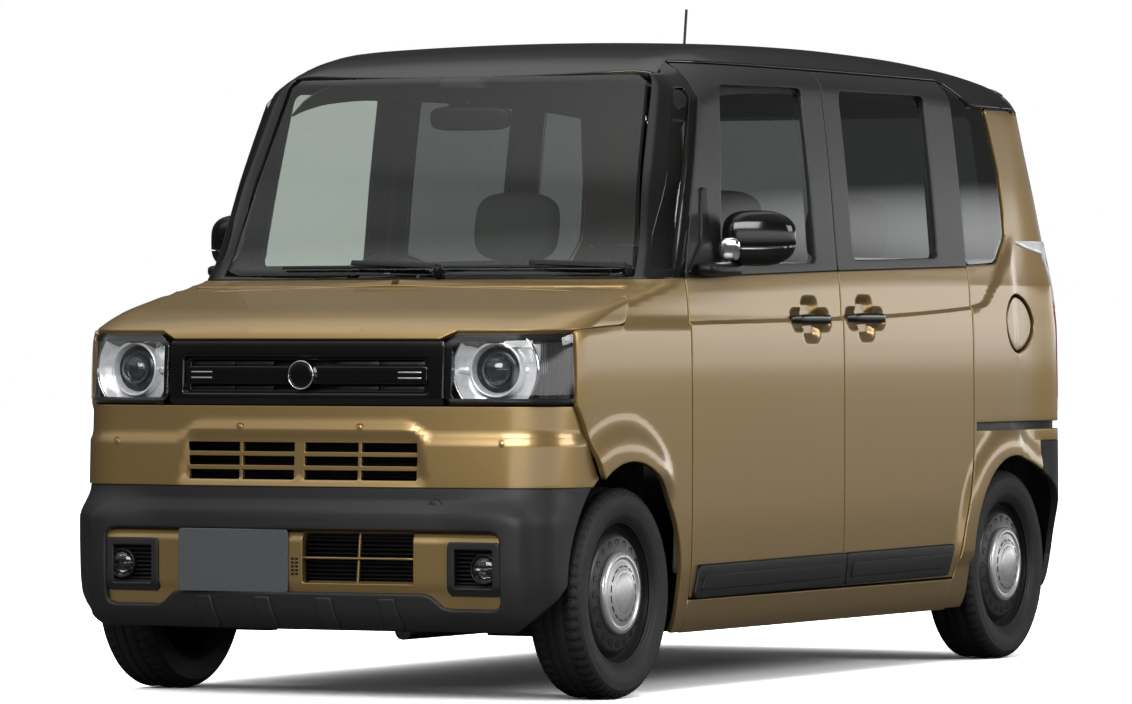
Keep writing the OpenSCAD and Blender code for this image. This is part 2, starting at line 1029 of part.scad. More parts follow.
module wipers() {
    color(black_plastic)
        difference() {
            for (x = [-360, 110])
                translate([x, -1056, 1060]) {
                    cylinder(r = 13, h = 62, $fn = 20);
                    translate([0, -6, 50]) cube([440, 12, 12]);
                    translate([180, -8, 54]) cube([300, 16, 18]);
                }
            body_solid(-seat_gap);
        }
}

// Cabin

module dashboard() {
    color(black_plastic)
        difference() {
            union() {
                side_prism(-640, 640)
                    polygon([[-873.7, 700], [-640, 700], [-610, 780], [-620, 960], [-660, 1010], [-873.7, 1050]]);
                translate([steer_x, -820, 1005]) scale([1, 1, 0.5]) rotate([-90, 0, 0]) cylinder(r = 150, h = 165);
                translate([-110, -668, 1000]) rotate([-12, 0, 0]) cube([230, 14, 125]);
            }
            at_column() translate([0, 0, -230]) cylinder(r = column_r + run_fit, h = 160);
        }
}

column_r = 22;
module at_column() {
    translate([steer_x, steer_y, steer_z])
        rotate([-steer_rake, 0, 0])
            children();
}

steer_x = -330;
steer_y = -500;
steer_z = 1010;
steer_rake = 62;
rim_r = 178;

module steering_wheel() {
    color(black_plastic)
        at_column() {
            rotate_extrude() translate([rim_r, 0]) circle(15);
            translate([0, 0, -40]) cylinder(r = 60, h = 42);
            for (a = [0, 180, 270])
                rotate([0, 0, a]) translate([30, -14, -18]) cube([rim_r - 32, 28, 14]);
            translate([0, 0, -210]) cylinder(r = column_r, h = 190);
        }
}

module cushion(w, d, h) {
    r = 38;
    hull()
        for (x = [r, w - r], y = [r, d - r], z = [r, h - r])
            translate([x, y, z]) sphere(r, $fn = 8);
}

module seat(x, w, y, base) {
    translate([x - w / 2, y, base]) {
        cushion(w, 500, 130);
        translate([0, 440, 90]) rotate([-14, 0, 0]) cushion(w, 110, 560);
        translate([w / 2 - 125, 590, 650]) rotate([-10, 0, 0]) cushion(250, 90, 190);
        for (s = [-1, 1])
            translate([w / 2 + s * 60, 610, 560]) rotate([-10, 0, 0]) cylinder(r = 7, h = 130);
    }
}

module seats() {
    color("#2f312e") {
        both_sides() seat(320, 520, -480, 470);
        both_sides() seat(225, 420, 590, 470);
        both_sides() {
            translate([120, -440, floor_top]) cube([400, 420, 260]);
            translate([60, 640, floor_top]) cube([340, 420, 260]);
        }
    }
}

module interior_mirror() {
    color(black_plastic) {
        translate([0, -797, 1600]) rotate([-90, 0, 0]) cylinder(r = 8, h = 80);
        translate([-115, -730, 1565]) cube([230, 36, 66]);
    }
}

// Running gear

module engine() {
    color(steel)
        translate([-330, -1500, 250.3]) cube([620, 480, 510]);
}

king_x = 612;
king_r = 18;
strut_x = 500;
strut_r = 24;

module knuckle() {
    translate([king_x, front_axle, 166]) cylinder(r = king_r, h = 226);
    translate([king_x - 10, front_axle, wheel_r]) rotate([0, 90, 0]) cylinder(r = 34, h = 30);
    translate([king_x, front_axle, wheel_r]) rotate([0, 90, 0])
        cylinder(r = spindle_radius, h = wheel_x + 34 - king_x);
}

module knuckle_left() {
    color(steel) knuckle();
}

module knuckle_right() {
    color(steel) mirror([1, 0, 0]) knuckle();
}

module front_subframe() {
    color(steel)
        difference() {
            union() {
                translate([-360, front_axle - 40, 190]) cube([720, bulkhead - seat_gap - front_axle + 40, 60]);
                both_sides() {
                    translate([330, front_axle - 22, 160]) cube([king_x - 330 + 26, 44, 36]);
                    translate([front_house_x + 16 + seat_gap, front_axle - 22, 364]) cube([king_x - front_house_x + 10, 44, 24]);
                    translate([front_house_x + 16 + seat_gap, front_axle - 70, 790]) cube([110, 140, 40]);
                    translate([strut_x, front_axle, 180]) cylinder(r = strut_r, h = 620);
                }
            }
            both_sides() translate([king_x, front_axle, 150]) cylinder(r = king_r + run_fit, h = 260);
        }
}

module rear_axle_beam() {
    color(steel) {
        translate([-520, rear_axle - 60, 230]) cube([1040, 70, 80]);
        both_sides() {
            translate([390, rear_step + 16 + seat_gap, 235]) cube([50, rear_axle - rear_step - 16, 60]);
            translate([415, rear_axle - 25, 300]) cylinder(r = 42, h = rear_floor - 30 - seat_gap - 300);
            translate([500, rear_axle, wheel_r]) rotate([0, 90, 0]) cylinder(r = 40, h = 60);
            translate([520, rear_axle, wheel_r]) rotate([0, 90, 0])
                cylinder(r = spindle_radius, h = wheel_x + 34 - 520);
        }
    }
}

module exhaust() {
    color(steel) {
        translate([-120, -895, floor_bottom - 26]) rotate([-90, 0, 0]) cylinder(r = 25.7, h = 2395);
        translate([-300, 1500, 290]) rotate([0, 90, 0]) cylinder(r = 72, h = 420);
        translate([-120, 1490, floor_bottom - 26]) cylinder(r = 25.7, h = 90);
        translate([-260, 1500, 300]) cylinder(r = 10, h = rear_floor - 30 - seat_gap - 300);
        translate([60, 1500, 300]) cylinder(r = 10, h = rear_floor - 30 - seat_gap - 300);
    }
}

module fuel_tank() {
    color(black_plastic)
        translate([60, -420, 140]) cube([420, 560, floor_bottom - 140]);
}

module tyre() {
    bead = rim_diameter / 2 - 8;
    half = tyre_width / 2;
    lip = half - 17.5 - seat_gap;
    shoulder = [[bead, lip], [rim_diameter / 2 + seat_gap, lip], [rim_diameter / 2 + 3, half - 9], [bead + 40, half],
                [wheel_r - 24, half - 1.5], [wheel_r - 7, half - 10], [wheel_r, half - 26]];
    n = len(shoulder);
    rotate([0, 90, 0])
        rotate_extrude($fn = 96)
            polygon(concat(shoulder, [for (i = [n - 1:-1:0]) [shoulder[i][0], -shoulder[i][1]]]));
}

module wheel() {
    bead = rim_diameter / 2 - 8;
    lip = tyre_width / 2 - 17.5;
    cap = cap_diameter / 2;
    rotate([0, 90, 0]) {
        difference() {
            union() {
                rotate_extrude($fn = 96)
                    polygon([[bead - 0.1, -lip], [bead - 0.1, lip], [rim_diameter / 2, lip], [rim_diameter / 2, lip + 6],
                             [bead - 8, lip + 4], [bead - 16, 40], [bead - 24, 20], [150, 36], [110, 36], [40, 36],
                             [40, 28], [110, 28], [146, 28], [bead - 24, 8], [bead - 24, -50], [bead - 8, -lip - 4],
                             [rim_diameter / 2, -lip - 6], [rim_diameter / 2, -lip]]);
                cylinder(r = 44, h = 38);
            }
            translate([0, 0, -10]) cylinder(r = spindle_radius + run_fit, h = 44.2);
            for (i = [0:vent_count - 1])
                rotate([0, 0, i * 360 / vent_count]) translate([131, 0, 0]) cylinder(d = vent_diameter, h = 60);
        }
        rotate_extrude($fn = 72)
            polygon([[0, 38.2], [cap, 38.2], [cap, 43], [cap - 5, 49], [cap - 14, 50], [cap - 18, 46], [cap - 52, 51],
                     [cap - 56, 54], [0, 56]]);
    }
}

module at_wheel(side, axle) {
    translate([side * wheel_x, axle, wheel_r])
        mirror([side < 0 ? 1 : 0, 0, 0])
            children();
}

plate_x = -190;
module number_plate() {
    color("#4a4c50")
        difference() {
            union() {
                translate([plate_x - 165, -half_length, 282]) cube([330, 3.5, 165]);
                plate_bracket();
            }
            for (x = [-105, 105])
                translate([plate_x + x, -half_length - 20, 432]) rotate([-90, 0, 0]) cylinder(r = 3.5, h = 40);
        }
}

module antenna() {
    color(black_plastic)
        difference() {
            translate([-330, 1255, 1735]) {
                cylinder(r1 = 30, r2 = 12, h = 40, $fn = 24);
                rotate([-8, 0, 0]) cylinder(r = 4, h = 200, $fn = 16);
            }
            body_solid(-seat_gap);
        }
}

floor_pan();
wheel_houses();
body_sides($cabin = true);
roof_panel($cabin = true);
fenders();
front_bumper();
bumper_guard();
bumper_panel();
grille();
headlamps();
headlamp_lenses();
fog_lamps();
windscreen($cabin = true);
fixed_side_glass($cabin = true);
sliding_doors($cabin = true);
sliding_door_trim($cabin = true);
rear_bumper($cabin = true);
rear_lamps($cabin = true);
cowl();
wipers();
dashboard();
seats();
interior_mirror();
engine();
front_subframe();
rear_axle_beam();
exhaust();
fuel_tank();
number_plate();
antenna();
hinge_pins();
front_door_left($cabin = true);
front_door_glass_left($cabin = true);
front_door_trim_left($cabin = true);
front_door_right($cabin = true);
front_door_glass_right($cabin = true);
front_door_trim_right($cabin = true);
tailgate($cabin = true);
tailgate_glass($cabin = true);
rear_wiper();
bonnet();
knuckle_left();
knuckle_right();
color(black_plastic) at_wheel(1, front_axle) tyre();  // tyre_front_left
color(steel) at_wheel(1, front_axle) wheel();  // wheel_front_left
color(black_plastic) at_wheel(-1, front_axle) tyre();  // tyre_front_right
color(steel) at_wheel(-1, front_axle) wheel();  // wheel_front_right
color(black_plastic) at_wheel(1, rear_axle) tyre();  // tyre_rear_left
color(steel) at_wheel(1, rear_axle) wheel();  // wheel_rear_left
color(black_plastic) at_wheel(-1, rear_axle) tyre();  // tyre_rear_right
color(steel) at_wheel(-1, rear_axle) wheel();  // wheel_rear_right
steering_wheel();
fuel_lid($cabin = true);
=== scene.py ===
import bisect
import collections
import functools
import math

import bmesh
import bpy
from mathutils import Euler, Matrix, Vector


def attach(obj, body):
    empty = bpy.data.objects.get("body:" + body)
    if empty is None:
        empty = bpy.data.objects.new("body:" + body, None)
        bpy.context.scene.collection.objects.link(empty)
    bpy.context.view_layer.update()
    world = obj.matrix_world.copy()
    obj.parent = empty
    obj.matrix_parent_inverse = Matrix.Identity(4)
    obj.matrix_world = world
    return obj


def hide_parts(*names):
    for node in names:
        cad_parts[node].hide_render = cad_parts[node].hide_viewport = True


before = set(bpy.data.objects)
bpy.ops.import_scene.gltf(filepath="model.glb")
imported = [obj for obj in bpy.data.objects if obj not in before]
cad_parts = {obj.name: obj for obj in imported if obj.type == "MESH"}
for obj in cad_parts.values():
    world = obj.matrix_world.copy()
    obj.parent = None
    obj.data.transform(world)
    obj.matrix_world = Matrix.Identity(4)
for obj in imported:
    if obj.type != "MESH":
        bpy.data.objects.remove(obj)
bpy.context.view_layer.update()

# Studio: a plain floor that runs out of sight, pale to the camera but near black to all other rays, a painted
# shade for the car's shadow in what the car mirrors and in bounce light, with a white backdrop and soft lamps
# above and round the car.
# Paint and glass mirror walls of graded tone instead: a bright band low on the car's left, and dark above it.
scene = bpy.context.scene
scene.view_settings.view_transform = "Standard"


def new_material(name):
    material = bpy.data.materials.new(name)
    material.use_nodes = True
    nodes, links = material.node_tree.nodes, material.node_tree.links
    return material, nodes, links, nodes["Principled BSDF"]


def studio_floor():
    material, nodes, links, shader = new_material("studio_floor")
    shader.inputs["Roughness"].default_value = 0.7
    path = nodes.new("ShaderNodeLightPath")
    seen = nodes.new("ShaderNodeMix")
    seen.data_type = "RGBA"
    # Painted shade: every ray but the camera's sees the floor near black, so the car's lower panels mirror it
    # as if the floor lay in the car's shadow.
    seen.inputs["A"].default_value = (0.07, 0.07, 0.07, 1)
    seen.inputs["B"].default_value = (2.2, 2.2, 2.2, 1)
    links.new(path.outputs["Is Camera Ray"], seen.inputs["Factor"])
    links.new(seen.outputs["Result"], shader.inputs["Base Color"])
    shader.inputs["Specular IOR Level"].default_value = 0.0
    bm = bmesh.new()
    bmesh.ops.create_grid(bm, x_segments=2, y_segments=2, size=60)
    mesh = bpy.data.meshes.new("floor")
    bm.to_mesh(mesh)
    bm.free()
    floor = bpy.data.objects.new("floor", mesh)
    mesh.materials.append(material)
    scene.collection.objects.link(floor)


studio_floor()

world = bpy.data.worlds.new("studio")
scene.world = world
world.use_nodes = True
nodes, links = world.node_tree.nodes, world.node_tree.links
backdrop = nodes["Background"]
coordinates = nodes.new("ShaderNodeTexCoord")
direction = nodes.new("ShaderNodeSeparateXYZ")
links.new(coordinates.outputs["Generated"], direction.inputs[0])
path = nodes.new("ShaderNodeLightPath")


def wall_tones(*stops):
    ramp = nodes.new("ShaderNodeValToRGB")
    marks = ramp.color_ramp.elements
    for place, _ in stops[1:-1]:
        marks.new(place)
    for mark, (_, tone) in zip(marks, stops):
        mark.color = (tone, tone, tone, 1)
    links.new(direction.outputs["Z"], ramp.inputs["Fac"])
    return ramp.outputs["Color"]


def mixed(factor, first, second):
    mix = nodes.new("ShaderNodeMix")
    mix.data_type = "RGBA"
    links.new(factor, mix.inputs["Factor"])
    for end, value in (("A", first), ("B", second)):
        if isinstance(value, tuple):
            mix.inputs[end].default_value = value
        else:
            links.new(value, mix.inputs[end])
    return mix.outputs["Result"]


side_wall = wall_tones((0.0, 0.08), (0.006, 0.12), (0.013, 2.3), (0.074, 2.5), (0.084, 1.6), (0.100, 0.12),
                       (0.4, 0.08), (1.0, 0.4))
front_wall = wall_tones((0.0, 0.03), (0.08, 0.05), (0.18, 0.12), (0.30, 0.55), (0.42, 0.85), (0.62, 0.55),
                        (0.80, 1.3), (1.0, 1.4))
back_wall = wall_tones((0.0, 0.03), (0.30, 0.05), (0.48, 0.12), (0.70, 0.6), (1.0, 1.3))


def towards(axis):
    which = nodes.new("ShaderNodeMapRange")
    which.inputs["From Min"].default_value, which.inputs["From Max"].default_value = -0.05, 0.05
    links.new(direction.outputs[axis], which.inputs["Value"])
    return which.outputs["Result"]


mirrored_walls = mixed(towards("X"), mixed(towards("Y"), front_wall, back_wall), side_wall)
plain_walls = wall_tones((0.0, 0.5), (0.3, 0.55), (1.0, 0.9))
seen = mixed(path.outputs["Is Glossy Ray"], plain_walls, mirrored_walls)
links.new(mixed(path.outputs["Is Camera Ray"], seen, (1, 1, 1, 1)), backdrop.inputs["Color"])


def soft_lamp(name, place, aim, width, depth, watts):
    lamp = bpy.data.lights.new(name, "AREA")
    lamp.shape = "RECTANGLE"
    lamp.size, lamp.size_y = width, depth
    lamp.energy = watts
    holder = bpy.data.objects.new(name, lamp)
    holder.location = place
    holder.rotation_euler = (Vector(aim) - Vector(place)).to_track_quat("-Z", "Y").to_euler()
    scene.collection.objects.link(holder)
    return holder


soft_lamp("overhead_softbox", (0.5, -0.5, 6.0), (0, 0, 0), 5.0, 7.0, 520).visible_glossy = False
soft_lamp("front_softbox", (1.5, -7.5, 3.6), (0, 0, 0.8), 4.5, 2.4, 360)
soft_lamp("side_softbox", (8.5, 1.0, 3.4), (0, 0, 0.7), 5.0, 2.4, 240)

camera = bpy.data.objects.new("camera", bpy.data.cameras.new("camera"))
camera.data.sensor_width = 36
camera.data.lens = 217
camera.data.clip_end = 200
camera.location = (8.726, -17.1875, 0.962)
camera.rotation_euler = (math.radians(90 - 0.17), 0, math.radians(27.13))
scene.collection.objects.link(camera)
scene.camera = camera

# Body form: the smooth outer surface that every pressed panel and pane of glass follows.
# Flat sections at set heights give the nose, corners, sides and tail, and a crowned roof closes it.
# The two tables are in millimetres, as a body draughtsman lists them; all else is in metres.
HALF_LENGTH, HALF_WIDTH = 1.6975, 0.7375
SECTIONS = [
    # height, nose inset, nose bow, front corner x, y, side inset, tail inset, tail bow, rear corner x, y
    (155, 100, 45, 160, 160, 42, 110, 35, 130, 120),
    (190, 28, 45, 160, 170, 24, 40, 35, 130, 120),
    (240, 8, 45, 160, 170, 14, 10, 35, 130, 120),
    (340, 0, 45, 160, 170, 3, 0, 35, 130, 120),
    (500, 2, 45, 160, 170, 0, 0, 35, 130, 120),
    (780, 16, 45, 155, 165, 0, 6, 35, 130, 120),
    (930, 24, 46, 150, 160, 2, 10, 35, 130, 120),
    (962, 34, 50, 150, 160, 3, 11, 35, 130, 120),
    (985, 66, 62, 150, 170, 4, 12, 35, 130, 120),
    (1010, 136, 74, 130, 165, 6, 14, 35, 130, 120),
    (1045, 314, 74, 105, 130, 8, 16, 35, 130, 120),
    (1080, 506, 70, 95, 115, 10, 18, 35, 130, 120),
    (1104, 648, 54, 94, 105, 12, 20, 35, 130, 120),
    (1110, 664, 45, 95, 100, 13, 21, 35, 130, 120),
    (1400, 792, 47, 102, 110, 40, 65, 35, 130, 120),
    (1660, 915, 49, 109, 120, 70, 122, 35, 125, 120),
    (1830, 990, 49, 115, 125, 92, 162, 35, 120, 120),
]
ROOF_LINE = [(-2000, 165), (-850, 165), (-780, 118), (-700, 78), (-600, 48), (-450, 23), (-200, 6), (300, 0),
             (800, 7), (1200, 26), (1500, 54), (1720, 90)]
NOSE_RUN, CORNER_RUN, SIDE_RUN, REAR_CORNER_RUN, TAIL_RUN = 0.58, 0.25, 3.0, 0.19, 0.61
SIDE_START = NOSE_RUN + CORNER_RUN
SIDE_END = SIDE_START + SIDE_RUN
TAIL_START = SIDE_END + REAR_CORNER_RUN
TAIL_END = TAIL_START + TAIL_RUN
SIDE_CROWN = 0.008
CORNER_PULL = 0.55
Section = collections.namedtuple("Section",
                                 "nose_in bow corner_x corner_y side_in tail_in tail_bow rear_x rear_y")


def flowing_curve(xs, ys):
    slopes = [(b - a) / (d - c) for a, b, c, d in zip(ys, ys[1:], xs, xs[1:])]
    turns = [0 if a * b <= 0 else 2 * a * b / (a + b) for a, b in zip(slopes, slopes[1:])]
    turns = [slopes[0]] + turns + [slopes[-1]]

    def at(x):
        i = min(max(bisect.bisect_right(xs, x) - 1, 0), len(xs) - 2)
        h = xs[i + 1] - xs[i]
        u = min(max((x - xs[i]) / h, 0), 1)
        return ((1 + 2 * u) * (1 - u) ** 2 * ys[i] + u * (1 - u) ** 2 * h * turns[i]
                + u * u * (3 - 2 * u) * ys[i + 1] + u * u * (u - 1) * h * turns[i + 1])

    return at


level_heights = [row[0] / 1000 for row in SECTIONS]
section_curves = [flowing_curve(level_heights, [row[k] / 1000 for row in SECTIONS]) for k in range(1, 10)]
roof_curve = flowing_curve([row[0] / 1000 for row in ROOF_LINE], [row[1] / 1000 for row in ROOF_LINE])


@functools.lru_cache(maxsize=None)
def section(z):
    return Section(*[curve(z) for curve in section_curves])


def side_ends(z):
    here = section(z)
    front = -HALF_LENGTH + here.nose_in + here.bow + here.corner_y
    return front, HALF_LENGTH - here.tail_in - here.tail_bow - here.rear_y


def bezier(points, u):
    a, b, c, d = points
    return ((1 - u) ** 3 * a + 3 * (1 - u) ** 2 * u * b + 3 * (1 - u) * u * u * c + u ** 3 * d)


def plain_point(s, z):
    here = section(z)
    w = HALF_WIDTH - here.side_in
    nose, tail = -HALF_LENGTH + here.nose_in, HALF_LENGTH - here.tail_in
    nose_x, tail_x = w - here.corner_x, w - here.rear_x
    y0, y1 = side_ends(z)
    edge = w - SIDE_CROWN
    lean = 4 * SIDE_CROWN / (y1 - y0)
    if s <= NOSE_RUN:
        x = nose_x * s / NOSE_RUN
        return Vector((x, nose + here.bow * (x / nose_x) ** 2, z))
    if s <= SIDE_START:
        u = (s - NOSE_RUN) / CORNER_RUN
        across, along = CORNER_PULL * here.corner_x, CORNER_PULL * here.corner_y
        start = nose + here.bow
        x = bezier((nose_x, nose_x + across, edge - lean * along, edge), u)
        return Vector((x, bezier((start, start + across * 2 * here.bow / nose_x, y0 - along, y0), u), z))
    if s <= SIDE_END:
        u = (s - SIDE_START) / SIDE_RUN
        return Vector((w - SIDE_CROWN * (2 * u - 1) ** 2, y0 + (y1 - y0) * u, z))
    if s <= TAIL_START:
        u = (s - SIDE_END) / REAR_CORNER_RUN
        across, along = CORNER_PULL * here.rear_x, CORNER_PULL * here.rear_y
        end = tail - here.tail_bow
        x = bezier((edge, edge - lean * along, tail_x + across, tail_x), u)
        return Vector((x, bezier((y1, y1 + along, end - across * 2 * here.tail_bow / tail_x, end), u), z))
    x = tail_x * max(0, 1 - (s - TAIL_START) / TAIL_RUN)
    return Vector((x, tail - here.tail_bow * (x / tail_x) ** 2, z))


def ease(x):
    x = min(max(x, 0), 1)
    return x * x * (3 - 2 * x)


# Pressed shapes in that surface: the shoulder step that climbs to the rear pillar, the brows over the wheels
# and the cups behind the door handles, all drawn into the same steel as the panels that carry them.
FRONT_AXLE, REAR_AXLE = -1.2345, 1.2855
step_height = flowing_curve([-1.8, -1.505, -1.239, -0.884, -0.116, 0.26, 0.995, 1.087, 1.16, 1.33, 1.6],
                            [0.968, 0.970, 0.982, 0.988, 0.999, 1.006, 1.035, 1.044, 1.09, 1.223, 1.5])


def brow(y, z, axle, arch_z, near, top, far, rise):
    angle = math.degrees(math.atan2(z - arch_z, y - axle))
    if angle < 30:
        return 0.0
    lean = (angle - 90) / 50
    outer = top + (near - top) * max(-lean, 0) ** 1.3 + (far - top) * max(lean, 0) ** 1.3
    inner = rise + 0.026 * max(lean, 0)
    reach = math.hypot(y - axle, z - arch_z)
    return ease((outer - reach) / (outer - inner)) * ease((angle - 38) / 24)


def box_depth(x, z, half, low, high, radius):
    dx = abs(x) - half + radius
    dz = abs(z - (low + high) / 2) - (high - low) / 2 + radius
    return radius - math.hypot(max(dx, 0), max(dz, 0)) - min(max(dx, dz), 0)


HANDLES = ((-0.112, 0.996), (0.250, 1.000))


def pressing(y, z):
    bulge = 0.006 * ease((step_height(y) - z) / 0.007) * ease((1.36 - y) / 0.05)
    for middle, height in HANDLES:
        if abs(y - middle) < 0.16 and abs(z - height) < 0.08:
            wide = box_depth(y - middle, z, 0.128, height - 0.034, height + 0.034, 0.028)
            tall = box_depth(y - middle, z, 0.056, height - 0.066, height + 0.066, 0.030)
            bulge -= 0.016 * ease(max(wide, tall) / 0.026)
    if z < 0.8:
        bulge += 0.015 * brow(y, z, FRONT_AXLE, 0.308, 0.372, 0.436, 0.47, 0.345)
        bulge += 0.013 * brow(y, z, REAR_AXLE, 0.296, 0.365, 0.405, 0.42, 0.332)
    return bulge


def roof_height(x, y):
    over = max(0, abs(x) - 0.470) / 0.200
    return 1.774 - roof_curve(y) - 0.012 * (x / 0.5) ** 2 - 0.100 * over ** 2.5


def solve(value, low, high, rising, target):
    for _ in range(24):
        middle = (low + high) / 2
        if (value(middle) < target) == rising:
            low = middle
        else:
            high = middle
    return (low + high) / 2


def from_side(y, z):
    return solve(lambda s: plain_point(s, z).y, 0, TAIL_END, True, y), z


def from_front(x, z):
    return math.copysign(solve(lambda s: plain_point(s, z).x, 0, SIDE_START + 1.5, True, abs(x)), x), z


def side_form(y, z):
    y0, y1 = side_ends(z)
    if y0 <= y <= y1:
        x = HALF_WIDTH - section(z).side_in - SIDE_CROWN * (2 * (y - y0) / (y1 - y0) - 1) ** 2
    else:
        x = plain_point(from_side(y, z)[0], z).x
    if z < 1.3:
        x += pressing(y, z)
    if z > 1.6:
        under = solve(lambda w: roof_height(w, y), 0.4, 0.8, False, z)
        x = -0.004 * math.log(math.exp(-x / 0.004) + math.exp(-under / 0.004))
    return Vector((x, y, z))


REAR_WRAP, WRAP_RUN = 1.36, 0.12


def rear_plain(r, z):
    if r <= REAR_WRAP:
        return side_form(r, z)
    y1 = side_ends(z)[1]
    if r <= REAR_WRAP + WRAP_RUN:
        return side_form(REAR_WRAP + (y1 - REAR_WRAP) * (r - REAR_WRAP) / WRAP_RUN, z)
    p = plain_point(SIDE_END + r - REAR_WRAP - WRAP_RUN, z)
    fade = ease((REAR_WRAP + WRAP_RUN + 0.1 - r) / 0.1)
    p.x += pressing(y1, z) * fade
    return p


def rear_form(r, z):
    p = rear_plain(r, z)
    full = 0.034 - 0.026 * ease((z - 0.95) / 0.60)
    full *= ease((r - 1.40) / 0.15) * ease((1.80 - r) / 0.18)
    if full > 0:
        along = rear_plain(r + 0.004, z) - rear_plain(r - 0.004, z)
        along.z = 0
        along.normalize()
        p.x += along.y * full
        p.y -= along.x * full
    return p


def nose_pressing(x, z):
    if 0.5585 < z < 0.775:
        ledge = 0.681 + 0.035 * min(max((0.372 - abs(x)) / 0.059, 0), 1)
        back = 0.007 * ease((z - ledge) / 0.010)
        side = 0.372 - 0.030 * (z - 0.568) / 0.13
        room = min(side - abs(x), z - 0.566, 0.700 - z)
        return -back - 0.009 * ease(room / 0.014)
    if z <= 0.5585:
        ring = 0.011 * ease(box_depth(x, z, 0.640, 0.180, 0.506, 0.055) / 0.012 + 0.5)
        corner = 0.034 * ease((abs(x) - 0.40) / 0.25) * ease((0.7335 - abs(x)) / 0.05)
        return ring - 0.005 + corner * ease((0.5585 - z) / 0.09)
    return 0.0


def nose_form(s, z):
    p = plain_point(abs(s), z)
    bulge = nose_pressing(p.x, z)
    if bulge:
        along = plain_point(abs(s) + 0.002, z) - plain_point(max(abs(s) - 0.002, 0), z)
        along.normalize()
        p.x += along.y * bulge
        p.y -= along.x * bulge
    if z > 1.6:
        under = solve(lambda w: roof_height(w, p.y), 0.3, 0.8, False, z)
        p.x = -0.004 * math.log(math.exp(-p.x / 0.004) + math.exp(-under / 0.004))
    if s < 0:
        p.x = -p.x
    return p


def sunk(form, u, z, depth):
    step = 0.002
    across = form(u + step, z) - form(u - step, z)
    up = form(u, min(z + step, 1.83)) - form(u, max(z - step, 0.155))
    return form(u, z) - across.cross(up).normalized() * depth


def side_place(y, z, depth=0.0):
    return sunk(side_form, y, z, depth) if depth else side_form(y, z)


def rear_place(r, z, depth=0.0):
    return sunk(rear_form, r, z, depth) if depth else rear_form(r, z)


def nose_place(s, z, depth=0.0):
    return sunk(nose_form, s, z, depth) if depth else nose_form(s, z)


def from_rear(x, z):
    s = solve(lambda t: plain_point(t, z).x, SIDE_END - 0.2, TAIL_END, False, x)
    return s - SIDE_END + REAR_WRAP + WRAP_RUN, z


# Wings: pressed steel between the bumper and the front doors, cut out over the wheel with a rolled lip.
# Like every panel, each is cut from a flat sheet, laid on the form and folded in along its edges.
# It is sprayed with metallic khaki gold under clear coat, and bolted to the apron.
def area_of(points):
    return sum(a[0] * b[1] - b[0] * a[1] for a, b in zip(points, points[1:] + points[:1])) / 2


def grown(points, margin):
    if area_of(points) < 0:
        points = points[::-1]
    out = []
    for before, here, after in zip(points[-1:] + points[:-1], points, points[1:] + points[:1]):
        a = (Vector(here) - Vector(before)).normalized()
        b = (Vector(after) - Vector(here)).normalized()
        na, nb = Vector((a.y, -a.x)), Vector((b.y, -b.x))
        out.append(tuple(Vector(here) + (na + nb) * margin / (1 + na.dot(nb))))
    return out


def rounded(points, radius, parts=5):
    out = []
    for before, here, after in zip(points[-1:] + points[:-1], points, points[1:] + points[:1]):
        p, a, b = Vector(here), Vector(before), Vector(after)
        reach = min(radius, (a - p).length * 0.45, (b - p).length * 0.45)
        start, end = p + (a - p).normalized() * reach, p + (b - p).normalized() * reach
        for k in range(parts + 1):
            u = k / parts
            out.append(tuple(start * (1 - u) ** 2 + p * 2 * u * (1 - u) + end * u * u))
    return out


def laid_out(points, project, step=0.05):
    out = []
    for a, b in zip(points, points[1:] + points[:1]):
        count = max(1, math.ceil(math.dist(a, b) / step))
        for k in range(count):
            u = k / count
            out.append(project(a[0] + (b[0] - a[0]) * u, a[1] + (b[1] - a[1]) * u))
    return out


def is_inside(point, outline):
    x, y = point[0], point[1]
    hit = False
    for (ax, ay), (bx, by) in zip(outline, outline[1:] + outline[:1]):
        if (ay > y) != (by > y) and x < (bx - ax) * (y - ay) / (by - ay) + ax:
            hit = not hit
    return hit


def flat_sheet(columns, rows):
    bm = bmesh.new()
    bmesh.ops.create_grid(bm, x_segments=len(columns) - 1, y_segments=len(rows) - 1, size=0.5)
    for v in bm.verts:
        v.co = (columns[round((v.co.x + 0.5) * (len(columns) - 1))],
                rows[round((v.co.y + 0.5) * (len(rows) - 1))], 0)
    return bm


def snap_to(bm, outline, reach):
    pairs = zip(outline, outline[1:] + outline[:1])
    edges = [(Vector(a), Vector(b)) for a, b in pairs if math.dist(a, b) > 1e-7]
    for v in bm.verts:
        here = v.co.xy
        best = None
        for a, b in edges:
            if min(a.x, b.x) - reach < here.x < max(a.x, b.x) + reach and \
                    min(a.y, b.y) - reach < here.y < max(a.y, b.y) + reach:
                run = b - a
                foot = a + run * min(max((here - a).dot(run) / run.length_squared, 0), 1)
                gap = (here - foot).length
                if gap < reach and (best is None or gap < best[0]):
                    best = (gap, foot)
        if best:
            v.co.xy = best[1]


